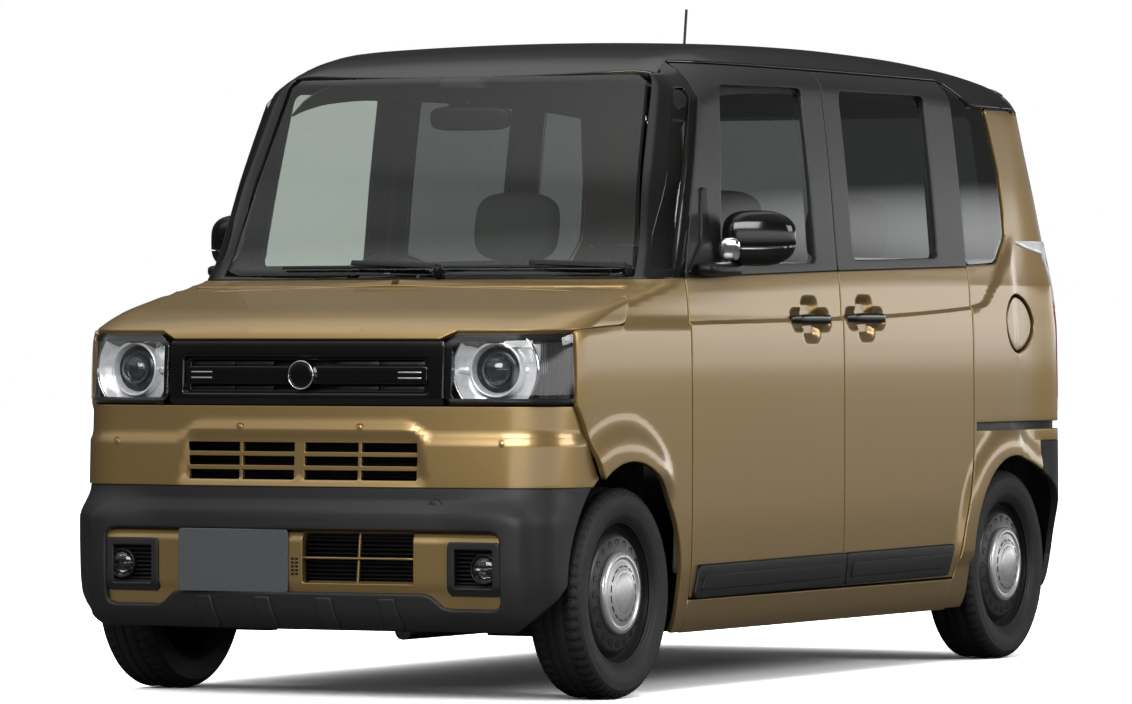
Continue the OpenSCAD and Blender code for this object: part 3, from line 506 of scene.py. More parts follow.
def cut_sheet(bm, outline, keep_inside, reach=0.003):
    snap_to(bm, outline, reach)
    for a, b in zip(outline, outline[1:] + outline[:1]):
        if math.dist(a, b) < 1e-7:
            continue
        low = (min(a[0], b[0]) - 1e-6, min(a[1], b[1]) - 1e-6)
        high = (max(a[0], b[0]) + 1e-6, max(a[1], b[1]) + 1e-6)
        near = []
        for f in bm.faces:
            xs = [v.co.x for v in f.verts]
            ys = [v.co.y for v in f.verts]
            if min(xs) <= high[0] and max(xs) >= low[0] and min(ys) <= high[1] and max(ys) >= low[1]:
                near.append(f)
        geom = list({g for f in near for g in (f, *f.edges, *f.verts)})
        bmesh.ops.bisect_plane(bm, geom=geom, dist=1e-5, plane_co=(a[0], a[1], 0),
                               plane_no=(b[1] - a[1], a[0] - b[0], 0))
    doomed = [f for f in bm.faces if is_inside(f.calc_center_median(), outline) != keep_inside]
    bmesh.ops.delete(bm, geom=doomed, context="FACES")


def lift_sheet(bm, depth, place):
    for v in bm.verts:
        v.co = place(v.co.x, v.co.y, depth)
    bm.normal_update()


def roll_edges(bm, radius, depth, steps=3):
    edges = [e for e in bm.edges if e.is_boundary and max(abs(v.co.x) for v in e.verts) > 1e-4]
    base, out = {}, {}
    for e in edges:
        f = e.link_faces[0]
        side = (e.verts[1].co - e.verts[0].co).cross(f.normal)
        if side.dot((e.verts[0].co + e.verts[1].co) / 2 - f.calc_center_median()) < 0:
            side = -side
        for v in e.verts:
            base[v] = (v.co.copy(), v.normal.copy())
            out[v] = out.get(v, Vector()) + side.normalized()
    current = {v: v for v in base}
    stations = [(radius * math.sin(math.pi / 2 * k / steps), radius * (1 - math.cos(math.pi / 2 * k / steps)))
                for k in range(1, steps + 1)]
    stations += [(radius, depth)]
    for reach, drop in stations:
        made = bmesh.ops.extrude_edge_only(bm, edges=edges)["geom"]
        new = {}
        for v in made:
            if isinstance(v, bmesh.types.BMVert):
                for e in v.link_edges:
                    other = e.other_vert(v)
                    if other in current:
                        new[v] = current[other]
        for v, root in new.items():
            co, normal = base[root]
            side = out[root].normalized()
            if abs(co.x) < 1e-4:
                side.x = 0
            v.co = co + side * reach - normal * drop
        edges = [e for e in made if isinstance(e, bmesh.types.BMEdge) and e.verts[0] in new
                 and e.verts[1] in new]
        current = new


def mirrored(bm):
    bmesh.ops.scale(bm, vec=(-1, 1, 1), verts=bm.verts)
    bmesh.ops.reverse_faces(bm, faces=bm.faces)
    return bm


def joined(first, *others):
    for other in others:
        mesh = bpy.data.meshes.new("joined")
        other.to_mesh(mesh)
        other.free()
        first.from_mesh(mesh)
        bpy.data.meshes.remove(mesh)
    return first


def finish_piece(bm, name, material, body, slot, nodes=(), wall=0.0015, mirror=False):
    if mirror:
        joined(bm, mirrored(bm.copy()))
        bmesh.ops.remove_doubles(bm, verts=[v for v in bm.verts if abs(v.co.x) < 2e-4], dist=4e-4)
    mesh = bpy.data.meshes.new(name)
    for f in bm.faces:
        f.smooth = True
    bm.to_mesh(mesh)
    bm.free()
    piece = bpy.data.objects.new(name, mesh)
    scene.collection.objects.link(piece)
    mesh.materials.append(material)
    if wall:
        sheet = piece.modifiers.new("wall", "SOLIDIFY")
        sheet.thickness = wall
        sheet.offset = -1
    weight = piece.modifiers.new("shading", "WEIGHTED_NORMAL")
    weight.keep_sharp = True
    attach(piece, body)
    if nodes:
        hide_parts(*nodes)
    return piece


def spaced(low, high, step):
    count = max(1, math.ceil((high - low) / step))
    return [low + (high - low) * k / count for k in range(count + 1)]


def panel_sheet(place, outline, regions=(), holes=(), step=0.02, rows=None, depth=0.0, edge=0.003,
                flange=0.014):
    low_u, high_u = min(p[0] for p in outline), max(p[0] for p in outline)
    low_z, high_z = min(p[1] for p in outline), max(p[1] for p in outline)
    bm = flat_sheet(spaced(low_u - 0.002, high_u + 0.002, step),
                    rows or spaced(low_z - 0.002, high_z + 0.002, step))
    for region in (outline, *regions):
        cut_sheet(bm, region, True)
    for hole in holes:
        cut_sheet(bm, hole, False)
    lift_sheet(bm, depth, place)
    if flange:
        roll_edges(bm, edge, flange)
    return bm


def noise(nodes, links, scale, detail=2.0, stretch=(1, 1, 1)):
    coordinates = nodes.new("ShaderNodeTexCoord")
    placing = nodes.new("ShaderNodeMapping")
    placing.inputs["Scale"].default_value = stretch
    pattern = nodes.new("ShaderNodeTexNoise")
    pattern.inputs["Scale"].default_value = scale
    pattern.inputs["Detail"].default_value = detail
    links.new(coordinates.outputs["Object"], placing.inputs[0])
    links.new(placing.outputs[0], pattern.inputs["Vector"])
    return pattern.outputs["Fac"]


def toned(nodes, links, factor, dark, light, low=0.35, high=0.65):
    ramp = nodes.new("ShaderNodeValToRGB")
    ramp.color_ramp.elements[0].position, ramp.color_ramp.elements[1].position = low, high
    ramp.color_ramp.elements[0].color = (*dark, 1)
    ramp.color_ramp.elements[1].color = (*light, 1)
    links.new(factor, ramp.inputs["Fac"])
    return ramp.outputs["Color"]


def spread(nodes, links, factor, low, high):
    span = nodes.new("ShaderNodeMapRange")
    span.inputs["To Min"].default_value = low
    span.inputs["To Max"].default_value = high
    links.new(factor, span.inputs["Value"])
    return span.outputs["Result"]


def surface(name, dark, light, grain, rough, bump, bump_grain, metallic=0.0, coat=0.0, specular=0.5,
            depth=0.001):
    material, nodes, links, shader = new_material(name)
    links.new(toned(nodes, links, noise(nodes, links, grain), dark, light), shader.inputs["Base Color"])
    links.new(spread(nodes, links, noise(nodes, links, grain * 0.37, 3.0), *rough),
              shader.inputs["Roughness"])
    relief = nodes.new("ShaderNodeBump")
    relief.inputs["Strength"].default_value = bump
    relief.inputs["Distance"].default_value = depth
    links.new(noise(nodes, links, bump_grain, 3.0), relief.inputs["Height"])
    links.new(relief.outputs[0], shader.inputs["Normal"])
    shader.inputs["Metallic"].default_value = metallic
    shader.inputs["Specular IOR Level"].default_value = specular
    if coat:
        shader.inputs["Coat Weight"].default_value = coat
        shader.inputs["Coat Roughness"].default_value = 0.03
    return material


body_paint = surface("body_paint", (0.262, 0.172, 0.064), (0.318, 0.213, 0.084), 1400, (0.27, 0.33), 0.02,
                     900, metallic=0.68, coat=0.55)


def arch_outline(axle, radius, top, margin=0.0):
    r = radius + margin
    centre = top - radius
    ring = [(axle + r * math.cos(math.pi * k / 32), centre + r * math.sin(math.pi * k / 32))
            for k in range(33)]
    return [(axle + r, 0.0)] + ring + [(axle - r, 0.0)]


front_arch = arch_outline(FRONT_AXLE, 0.314, 0.622, 0.003)
rear_arch = arch_outline(REAR_AXLE, 0.302, 0.598, 0.003)
BONNET_CUT = [(-1.505, 0.970), (-1.262, 0.981), (-1.236, 0.987), (-1.220, 1.005), (-1.190, 1.075),
              (-1.178, 1.106)]
WING = [(-1.514, 0.771), (-1.379, 0.556), (-1.235, 0.16), (-0.866, 0.16), (-0.866, 1.104)]
WING += [(y, z - 0.003) for y, z in BONNET_CUT[::-1]] + [(-1.514, 0.965)]


def both_sides(make, name, material, slot, body="body", replaced=(), **finish):
    for side in ("left", "right"):
        bm = make()
        if side == "right":
            bm = mirrored(bm)
        target = body if body == "body" else f"{body}_{side}"
        if body == "body":
            nodes = list(replaced) if side == "left" else []
        else:
            nodes = [f"{n}_{side}" for n in replaced]
        finish_piece(bm, f"{name}_{side}", material, target, slot, nodes, **finish)


def wing_sheet():
    bm = panel_sheet(side_place, grown(WING, -0.002), holes=[front_arch], step=0.016)
    for v in bm.verts:
        if v.co.y > -0.90:
            v.co.x = max(v.co.x, side_form(v.co.y, v.co.z).x - 0.004)
    return bm


both_sides(wing_sheet, "wing", body_paint, "body_paint", replaced=["fenders"])

# Bonnet: one steel pressing from the grille to the wipers, folded down over the nose and hinged at the cowl.
# Its sheet is laid out by the length along the crown, as the form runs nearly level there.
crown_heights = spaced(0.936, 1.104, 0.002)
crown_runs = [0.0]
for low, high in zip(crown_heights, crown_heights[1:]):
    crown_runs.append(crown_runs[-1] + (plain_point(0.3, high) - plain_point(0.3, low)).length)
run_at = flowing_curve(crown_heights, crown_runs)
height_at = flowing_curve(crown_runs, crown_heights)


def bonnet_place(s, run, depth=0.0):
    return nose_place(s, height_at(run), depth)


def bonnet_outline():
    front = [from_front(x, 0.9465) for x in spaced(0.0, 0.396, 0.04)] + [from_front(0.440, 0.9675)]
    front += [from_front(x, 0.9675) for x in (0.48, 0.52, 0.56, 0.60)]
    points = [(-1.655, 0.9675)] + [(y - 0.003, z + 0.001) for y, z in BONNET_CUT[:-1]] + [(-1.187, 1.085)]
    side_edge = []
    for a, b in zip(points, points[1:]):
        for k in range(6):
            u = k / 6
            side_edge.append(from_side(a[0] + (b[0] - a[0]) * u, a[1] + (b[1] - a[1]) * u))
    rear = []
    for x in spaced(0.0, 0.655, 0.03)[::-1]:
        z = solve(lambda h: plain_point(from_front(x, h)[0], h).y, 0.97, 1.103, True, -1.088)
        rear.append(from_front(x, z))
    return [(u, run_at(z)) for u, z in front + side_edge + rear]


bm = panel_sheet(bonnet_place, bonnet_outline(), step=0.014)
finish_piece(bm, "bonnet_panel", body_paint, "bonnet", "body_paint", ["bonnet"], mirror=True)

# Front doors: a painted steel pressing below the belt line and a black-filmed sash above it round the window.
# Each hangs on two hinges behind the wing; its pane is clear green-tinted glass that drops into the door.
pillar_film = surface("pillar_film", (0.012, 0.012, 0.013), (0.017, 0.017, 0.018), 700, (0.30, 0.38), 0.05,
                      1200)


def tinted_glass(name, colour):
    material, nodes, links, shader = new_material(name)
    links.new(spread(nodes, links, noise(nodes, links, 3, 1.0), 0.0, 0.02), shader.inputs["Roughness"])
    relief = nodes.new("ShaderNodeBump")
    relief.inputs["Strength"].default_value = 0.01
    relief.inputs["Distance"].default_value = 0.001
    links.new(noise(nodes, links, 6, 1.0), relief.inputs["Height"])
    links.new(relief.outputs[0], shader.inputs["Normal"])
    clear = nodes.new("ShaderNodeBsdfTransparent")
    clear.inputs["Color"].default_value = (*colour, 1)
    gloss = nodes.new("ShaderNodeFresnel")
    gloss.inputs["IOR"].default_value = 1.6
    sides = nodes.new("ShaderNodeNewGeometry")
    first_face = nodes.new("ShaderNodeMath")
    first_face.operation = "SUBTRACT"
    first_face.inputs[0].default_value = 1.0
    links.new(sides.outputs["Backfacing"], first_face.inputs[1])
    share = nodes.new("ShaderNodeMath")
    share.operation = "MULTIPLY"
    links.new(gloss.outputs[0], share.inputs[0])
    links.new(first_face.outputs[0], share.inputs[1])
    mix = nodes.new("ShaderNodeMixShader")
    shader.inputs["Specular IOR Level"].default_value = 1.0
    shader.inputs["Metallic"].default_value = 1.0
    shader.inputs["Base Color"].default_value = (0.95, 0.96, 0.96, 1)
    links.new(share.outputs[0], mix.inputs[0])
    links.new(clear.outputs[0], mix.inputs[1])
    links.new(shader.outputs[0], mix.inputs[2])
    links.new(mix.outputs[0], nodes["Material Output"].inputs["Surface"])
    return material


front_glass = tinted_glass("front_glass", (0.765, 0.795, 0.77))
FRONT_DOOR = [(-0.862, 0.250), (0.098, 0.250), (0.098, 1.694), (-0.640, 1.694), (-0.862, 1.108)]
FRONT_WINDOW = [(-0.640, 1.142), (-0.032, 1.150), (-0.032, 1.640), (-0.545, 1.636)]
BELT = [(-2.0, 1.074), (-0.862, 1.107), (0.098, 1.132), (1.061, 1.152), (2.0, 1.17)]


def below_belt(gap):
    return [(y, z - gap) for y, z in BELT] + [(2.0, 0.1), (-2.0, 0.1)]


def above_belt(gap):
    return [(y, z + gap) for y, z in BELT] + [(2.0, 1.9), (-2.0, 1.9)]


door_rows = sorted(spaced(0.24, 0.915, 0.02) + spaced(0.922, 0.970, 0.006) + spaced(0.974, 1.046, 0.0025)
                   + spaced(1.050, 1.068, 0.006) + spaced(1.075, 1.71, 0.02))
front_window = rounded(FRONT_WINDOW, 0.03)
both_sides(lambda: panel_sheet(side_place, grown(FRONT_DOOR, -0.006), [below_belt(0.004)], step=0.008,
                               rows=door_rows), "front_door_skin", body_paint, "body_paint", "front_door",
           ["front_door"])
both_sides(lambda: panel_sheet(side_place, grown(FRONT_DOOR, -0.006), [above_belt(0.003)], [front_window]),
           "front_door_sash", pillar_film, "black_plastic", "front_door")
both_sides(lambda: panel_sheet(side_place, grown(front_window, 0.006), depth=0.014, flange=0),
           "front_door_pane", front_glass, "clear_glass", "front_door", ["front_door_glass"], wall=0.004)

# Sliding doors: the same pressing and sash behind the front doors, with a darkened window fixed in it.
# They run on rollers in the sill, the roof's edge and the channel in the rear quarter.
privacy_glass = tinted_glass("privacy_glass", (0.33, 0.34, 0.345))
SLIDING_DOOR = [(0.098, 0.250), (0.870, 0.250), (0.920, 0.410), (1.000, 0.590), (1.000, 1.130),
                (0.988, 1.694), (0.098, 1.694)]
SLIDING_WINDOW = rounded([(0.205, 1.160), (0.800, 1.172), (0.800, 1.644), (0.205, 1.640)], 0.03)
both_sides(lambda: panel_sheet(side_place, grown(SLIDING_DOOR, -0.006), [below_belt(0.004)], [rear_arch],
                               step=0.008, rows=door_rows), "sliding_door_skin", body_paint, "body_paint",
           replaced=["sliding_doors"])
both_sides(lambda: panel_sheet(side_place, grown(SLIDING_DOOR, -0.006), [above_belt(0.003)],
                               [SLIDING_WINDOW]), "sliding_door_sash", pillar_film, "black_plastic")
both_sides(lambda: panel_sheet(side_place, grown(SLIDING_WINDOW, 0.006), depth=0.014, flange=0),
           "sliding_door_pane", privacy_glass, "dark_glass", replaced=["fixed_side_glass"], wall=0.004)

# Body sides: sill, rear quarter and rear pillar in painted steel, welded to the floor; black front pillars.
# The quarter has the rollers' channel, a darkened pane and, on the left, a round lid over the fuel filler.
# Dark plastic, also laid as thin strips on the insert and the wheel caps as a painted shade where slots would
# open.
dark_plastic_and_slot_shade = surface("dark_plastic_and_slot_shade", (0.003, 0.003, 0.0035), (0.006, 0.006, 0.007), 500, (0.3, 0.45), 0.2,
                       1500, specular=0.3)
gloss_black = surface("gloss_black", (0.002, 0.002, 0.0023), (0.004, 0.004, 0.0045), 500, (0.08, 0.14), 0.02,
                      700)
QUARTER_WINDOW = [(1.004, 1.158), (1.215, 1.166), (1.300, 1.246), (1.292, 1.420), (1.215, 1.690),
                  (0.998, 1.690)]
FUEL_LID = [(1.345 + 0.082 * math.cos(math.tau * k / 40), 0.986 + 0.082 * math.sin(math.tau * k / 40))
            for k in range(40)]
quarter_rows = sorted(spaced(0.155, 0.66, 0.02) + spaced(0.672, 0.70, 0.007) + spaced(0.715, 1.03, 0.02)
                      + spaced(1.036, 1.10, 0.005) + spaced(1.11, 1.62, 0.02))


def quarter_panel(lid):
    tail = [from_rear(0.594, 0.646 + (1.610 - 0.646) * k / 24) for k in range(25)]
    top = [from_rear(0.64, 1.612), from_rear(0.66, 1.612), (1.40, 1.612), (1.245, 1.612)]
    window_side = [(1.302, 1.42), (1.312, 1.30), (1.310, 1.25), (1.298, 1.228), (1.240, 1.168),
                   (1.215, 1.158), (1.0065, 1.150)]
    door_side = [(1.0065, 0.590), (0.927, 0.408), (0.877, 0.246), (0.877, 0.164), (1.10, 0.164),
                 (1.448, 0.30), (1.448, 0.642), from_rear(0.68, 0.645)]
    groove = [(1.018, 0.672), (1.66, 0.672), (1.66, 0.700), (1.018, 0.700)]
    return panel_sheet(rear_place, tail + top + window_side + door_side, (), [rear_arch, groove] + lid,
                       rows=quarter_rows)


lid_opening = [(y - 0.008 * ease((1.345 - y) / 0.03), z) for y, z in grown(FUEL_LID, 0.0075)]
finish_piece(quarter_panel([lid_opening]), "rear_quarter_left", body_paint, "body", "body_paint",
             ["body_sides"])
finish_piece(mirrored(quarter_panel([])), "rear_quarter_right", body_paint, "body", "body_paint")
bm = panel_sheet(rear_place, grown(FUEL_LID, -0.006), step=0.012, depth=0.0035, edge=0.003, flange=0.003)
finish_piece(bm, "fuel_lid_disc", body_paint, "fuel_lid", "body_paint", ["fuel_lid"])
both_sides(lambda: panel_sheet(rear_place, [(1.0, 0.66), (1.67, 0.66), (1.67, 0.712), (1.0, 0.712)],
                               depth=0.016, flange=0), "rail_channel", dark_plastic_and_slot_shade, "black_plastic")
bm = panel_sheet(rear_place, grown(FUEL_LID, 0.014), step=0.012, depth=0.036, flange=0)
finish_piece(bm, "fuel_pocket", dark_plastic_and_slot_shade, "body", "black_plastic")
both_sides(lambda: panel_sheet(side_place, rounded(QUARTER_WINDOW, 0.03), depth=0.006, flange=0.008),
           "rear_quarter_pane", privacy_glass, "dark_glass", wall=0.004)
SILL = [(-0.8635, 0.160), (0.872, 0.160), (0.872, 0.2445), (-0.8635, 0.2445)]
both_sides(lambda: panel_sheet(side_place, SILL, (), [front_arch, rear_arch]), "sill", body_paint,
           "body_paint")


def front_pillar():
    inner = [from_front(0.630 - 0.070 * k / 12, 1.112 + 0.545 * k / 12) for k in range(13)]
    outer = [from_side(-0.644 - 0.221 * k / 12, 1.690 - 0.584 * k / 12) for k in range(13)]
    top = [from_front(0.62, 1.660), from_side(-0.66, 1.690)]
    foot = [from_side(-0.95, 1.106), from_side(-1.03, 1.106)]
    window = [(-0.962, 1.126), (-0.906, 1.126), (-0.690, 1.622), (-0.731, 1.622)]
    return panel_sheet(nose_place, inner + top + outer + foot, (),
                       [laid_out(rounded(window, 0.012), from_side)])


both_sides(front_pillar, "front_pillar", gloss_black, "black_plastic")
corner = laid_out([(-0.975, 1.118), (-0.898, 1.118), (-0.676, 1.635), (-0.74, 1.635)], from_side)
both_sides(lambda: panel_sheet(nose_place, corner, depth=0.008, flange=0), "corner_pane", front_glass,
           "clear_glass", wall=0.004)

# Roof: a gloss black steel pressing with a crowned middle and rolled edges over the doors and the windscreen.
# It is welded along the gutters, and its rear corners come down to meet the quarters and the tailgate.
roof_paint = surface("roof_paint", (0.003, 0.003, 0.0035), (0.006, 0.006, 0.007), 900, (0.10, 0.16), 0.02,
                     600, coat=0.3)
ROOF_START, ROOF_END = -0.777, 1.486


def roof_edge(y):
    return solve(lambda x: roof_height(x, y), 0.40, 0.75, False, 1.700 - 0.072 * ease((y - 1.010) / 0.14))


def roof_sheet():
    bm = flat_sheet(spaced(0, 0.74, 0.02), spaced(-0.80, 1.49, 0.02))
    side = [(roof_edge(y), y) for y in spaced(-0.62, ROOF_END, 0.03)]
    front = [(x, ROOF_START + 0.075 * (x / 0.62) ** 2.2) for x in spaced(0.0, 0.56, 0.04)]
    cut_sheet(bm, front + side + [(-0.01, ROOF_END), (-0.01, ROOF_START)], True)
    for v in bm.verts:
        v.co = (v.co.x, v.co.y, roof_height(v.co.x, v.co.y))
    bm.normal_update()
    roll_edges(bm, 0.006, 0.02)
    return bm


finish_piece(roof_sheet(), "roof_skin", roof_paint, "body", "roof_paint", ["roof_panel"], mirror=True)


def rear_roof_corner():
    top = []
    for r in spaced(1.25, from_rear(0.594, 1.65)[0], 0.03):
        ceiling = solve(lambda h: h - roof_height(rear_form(r, h).x, rear_form(r, h).y), 1.55, 1.80, True,
                        -0.001)
        top.append((r, ceiling))
    return panel_sheet(rear_place, [(1.25, 1.615), (top[-1][0], 1.615)] + top[::-1])


both_sides(rear_roof_corner, "roof_corner", roof_paint, "roof_paint")

# Windscreen: one pane of laminated glass, curved with the nose and bonded to the pillars and the roof.
# It is clear with a faint green tint, so the cabin shows through it.
def screen_half():
    outline = [(0, 1.116)] + [from_front(x, 1.116) for x in (0.15, 0.3, 0.45, 0.58)]
    outline += [from_front(0.622 - 0.072 * k / 12, 1.13 + 0.505 * k / 12) for k in range(13)]
    outline += [from_front(x, 1.655) for x in (0.52, 0.4, 0.3, 0.2, 0.1)] + [(0, 1.655)]
    return panel_sheet(nose_place, outline, depth=0.001, flange=0)


finish_piece(screen_half(), "windscreen_pane", front_glass, "body", "clear_glass", ["windscreen"], wall=0.005,
             mirror=True)

# Front bumper: a moulded plastic cover in body colour, clipped to the wings and the grille.
# It has a recessed intake of three rows of slots with fins behind, and four parking sensors pressed in.
def rectangle(x, z, width, height):
    w, h = width / 2, height / 2
    return [(x - w, z - h), (x + w, z - h), (x + w, z + h), (x - w, z + h)]


def on_front(points, step=0.03):
    return laid_out(points, from_front, step)


def bumper_half():
    seam = [from_side(-1.386 - 0.130 * k / 8, 0.5605 + 0.2065 * k / 8) for k in range(9)]
    outline = [(u, 0.5605) for u in (-0.004, 0.2, 0.5, 0.8)] + seam + [(0.5, 0.767), (-0.004, 0.767)]
    slots = []
    for row in range(3):
        for x0, x1 in ((0.014, 0.174), (0.181, 0.342)):
            slot = rectangle((x0 + x1) / 2, 0.5895 + 0.036 * row, x1 - x0, 0.027)
            slots.append(on_front(rounded(slot, 0.004, 2)))
    arch = [from_side(y, z) for y, z in front_arch]
    return panel_sheet(nose_place, outline, (), slots + [arch], step=0.012, edge=0.0015, flange=0.012)


bm = bumper_half()
bmesh.ops.bisect_plane(bm, geom=bm.verts[:] + bm.edges[:] + bm.faces[:], dist=1e-5, plane_co=(0, 0, 0),
                       plane_no=(-1, 0, 0), clear_outer=True)
finish_piece(bm, "bumper_cover", body_paint, "body", "body_paint", ["front_bumper"], mirror=True)


def turned(profile, centre, axis, steps=48, bm=None):
    bm = bm or bmesh.new()
    axis = Vector(axis).normalized()
    across = axis.orthogonal().normalized()
    chain = [bm.verts.new(Vector(centre) + across * r + axis * h) for r, h in profile]
    edges = [bm.edges.new(pair) for pair in zip(chain, chain[1:])]
    before = set(bm.faces)
    bmesh.ops.spin(bm, geom=chain + edges, cent=centre, axis=axis, dvec=(0, 0, 0), angle=math.tau,
                   steps=steps, use_merge=True)
    made = [f for f in bm.faces if f not in before]
    rim = list({v for f in made for v in f.verts})
    bmesh.ops.remove_doubles(bm, verts=rim, dist=1e-5)
    bmesh.ops.recalc_face_normals(bm, faces=[f for f in made if f.is_valid])
    return bm


def strips(place, rows, depth, step=0.03):
    bm = bmesh.new()
    for u0, u1, z0, z1 in rows:
        part = flat_sheet(spaced(u0, u1, step), [z0, z1])
        lift_sheet(part, depth, place)
        joined(bm, part)
    return bm


def across_front(x0, x1, z0, z1):
    z = (z0 + z1) / 2
    return from_front(x0, z)[0], from_front(x1, z)[0], z0, z1


bm = bmesh.new()
for x, z in ((0.575, 0.672), (0.179, 0.713), (-0.179, 0.713), (-0.575, 0.672)):
    face = nose_place(from_front(x, z)[0], z)
    out = (nose_place(from_front(x, z)[0], z, -0.01) - face).normalized()
    turned([(0.0, 0.0015), (0.007, 0.0014), (0.0085, 0.0), (0.0092, -0.003), (0.0104, -0.003),
            (0.0112, 0.0005), (0.0122, -0.004), (0, -0.004)], face, out, 32, bm)
finish_piece(bm, "parking_sensors", body_paint, "body", "body_paint", wall=0)
fins = [across_front(-0.35, 0.35, z, z + 0.004) for z in spaced(0.572, 0.690, 0.011)]
bm = strips(nose_place, fins, 0.045)
finish_piece(bm, "intake_fins", dark_plastic_and_slot_shade, "body", "black_plastic", wall=0.02)
bm = strips(nose_place, [across_front(-0.37, 0.37, 0.565, 0.700)], 0.075)
finish_piece(bm, "intake_back", dark_plastic_and_slot_shade, "body", "black_plastic", wall=0.003)

# Bumper guard: a grained dark grey moulding under the bumper, with a raised ring round the painted insert.
# Ribs stiffen its lower lip, and a round cover hides the towing eye.
guard_plastic = surface("guard_plastic", (0.007, 0.007, 0.008), (0.011, 0.011, 0.0125), 600, (0.42, 0.54),
                        0.3, 1800, specular=0.4)
INSERT = rounded([(-0.586, 0.238), (-0.420, 0.238), (-0.380, 0.278), (0.380, 0.278), (0.420, 0.238),
                  (0.586, 0.238), (0.586, 0.452), (-0.586, 0.452)], 0.034)


def guard():
    seam = [from_side(-1.500 + 0.118 * k / 10, 0.188 + 0.369 * k / 10) for k in range(11)]
    low = [(u, 0.188) for u in spaced(-seam[0][0], seam[0][0], 0.2)[1:-1]]
    outline = low + seam + [(-u, z) for u, z in seam[::-1]]
    arch = [from_side(y, max(z, 0.156)) for y, z in front_arch]
    return panel_sheet(nose_place, outline, (), [on_front(INSERT), arch, [(-u, z) for u, z in arch]],
                       step=0.014, edge=0.006, flange=0.022)


finish_piece(guard(), "guard_cover", guard_plastic, "body", "black_plastic", ["bumper_guard"], wall=0.003)
bm = bmesh.new()
for x in (-0.275, -0.095, 0.088, 0.270):
    rib = flat_sheet(spaced(-0.021, 0.021, 0.007), spaced(0.192, 0.268, 0.0095))
    for v in rib.verts:
        lean = 0.010 * (0.230 - v.co.y) / 0.04
        v.co = nose_place(from_front(x + v.co.x + lean, v.co.y)[0], v.co.y, -0.006)
    rib.normal_update()
    roll_edges(rib, 0.004, 0.010)
    joined(bm, rib)
finish_piece(bm, "guard_ribs", guard_plastic, "body", "black_plastic", wall=0.002)
face = nose_place(from_front(0.394, 0.509)[0], 0.509)
bm = turned([(0, 0.0012), (0.018, 0.001), (0.0195, -0.002), (0.0205, -0.002), (0.022, 0.0008),
             (0.023, -0.003), (0, -0.003)], face, (0.02, -1, 0.02), 40)
finish_piece(bm, "tow_cover", guard_plastic, "body", "black_plastic", wall=0)

# Painted insert: a plastic panel in body colour, set back inside the guard's ring and screwed to it.
# It has a ducted opening beside the plate, small slots drawn as dark strips in painted shade, and a square
# hole for each fog lamp.
FOG_X, FOG_Z = 0.506, 0.349
DUCT = rounded(rectangle(0.175, 0.374, 0.324, 0.138), 0.012)


def insert_place(s, z, depth=0.0):
    slope = 0.016 * ease((z - 0.425) / 0.022) + 0.006 * ease((0.300 - z) / 0.014)
    return nose_place(s, z, depth + 0.010 + slope)


holes = [on_front(DUCT)]
holes += [on_front(rounded(rectangle(x, FOG_Z, 0.152, 0.142), 0.016)) for x in (FOG_X, -FOG_X)]
bm = panel_sheet(insert_place, on_front(grown(INSERT, 0.004)), (), holes, step=0.012, edge=0.002, flange=0.02)
finish_piece(bm, "insert_cover", body_paint, "body", "body_paint", ["bumper_panel"], wall=0.002)
bars = [across_front(0.012, 0.338, 0.371, 0.377)]
bm = strips(insert_place, bars + [across_front(0.172, 0.178, 0.304, 0.444)], 0.004)
finish_piece(bm, "duct_bars", body_paint, "body", "body_paint", wall=0.01)
bm = strips(insert_place, [across_front(0.010, 0.340, z, z + 0.004) for z in spaced(0.306, 0.440, 0.0112)],
            0.022)
finish_piece(bm, "duct_fins", dark_plastic_and_slot_shade, "body", "black_plastic", wall=0.02)
bm = strips(insert_place, [across_front(0.005, 0.345, 0.300, 0.448)], 0.045)
finish_piece(bm, "duct_back", dark_plastic_and_slot_shade, "body", "black_plastic", wall=0.003)
# Small slots: dark strips standing just proud of the insert, a painted shade in place of openings.
bm = strips(insert_place, [across_front(x, x + 0.009, z, z + 0.006) for x in (-0.018, -0.006)
                           for z in spaced(0.328, 0.368, 0.010)], -0.0004, 0.01)
finish_piece(bm, "insert_slot_shade", dark_plastic_and_slot_shade, "body", "black_plastic", wall=0.001)

# Fog lamps: a grained frame round a black box with fins, moulded in one and clipped into the insert.
# At its outer end stands a clear round lens with a bright bowl and bulb shield behind.
chrome = surface("bright_metal", (0.80, 0.81, 0.82), (0.90, 0.91, 0.92), 60, (0.08, 0.16), 0.03, 200,
                 metallic=1.0)
clear_lens = tinted_glass("clear_lens", (0.96, 0.965, 0.97))
fog_outer = rounded(rectangle(FOG_X, FOG_Z, 0.152, 0.142), 0.016)
fog_inner = rounded(rectangle(FOG_X, FOG_Z, 0.116, 0.108), 0.010)
both_sides(lambda: panel_sheet(insert_place, on_front(grown(fog_outer, -0.004)), (), [on_front(fog_inner)],
                               step=0.01, depth=-0.006, edge=0.004, flange=0.03),
           "fog_frame", guard_plastic, "black_plastic", replaced=["fog_lamps"], wall=0.002)
fins = [across_front(FOG_X - 0.060, FOG_X + 0.060, z, z + 0.005) for z in spaced(0.298, 0.398, 0.0125)]
both_sides(lambda: strips(insert_place, fins, 0.006), "fog_fins", dark_plastic_and_slot_shade, "black_plastic", wall=0.012)
box = [across_front(FOG_X - 0.062, FOG_X + 0.062, 0.290, 0.408)]
both_sides(lambda: strips(insert_place, box, 0.024), "fog_back", dark_plastic_and_slot_shade, "black_plastic", wall=0.002)
fog_face = insert_place(from_front(FOG_X + 0.030, 0.351)[0], 0.351, 0.004)
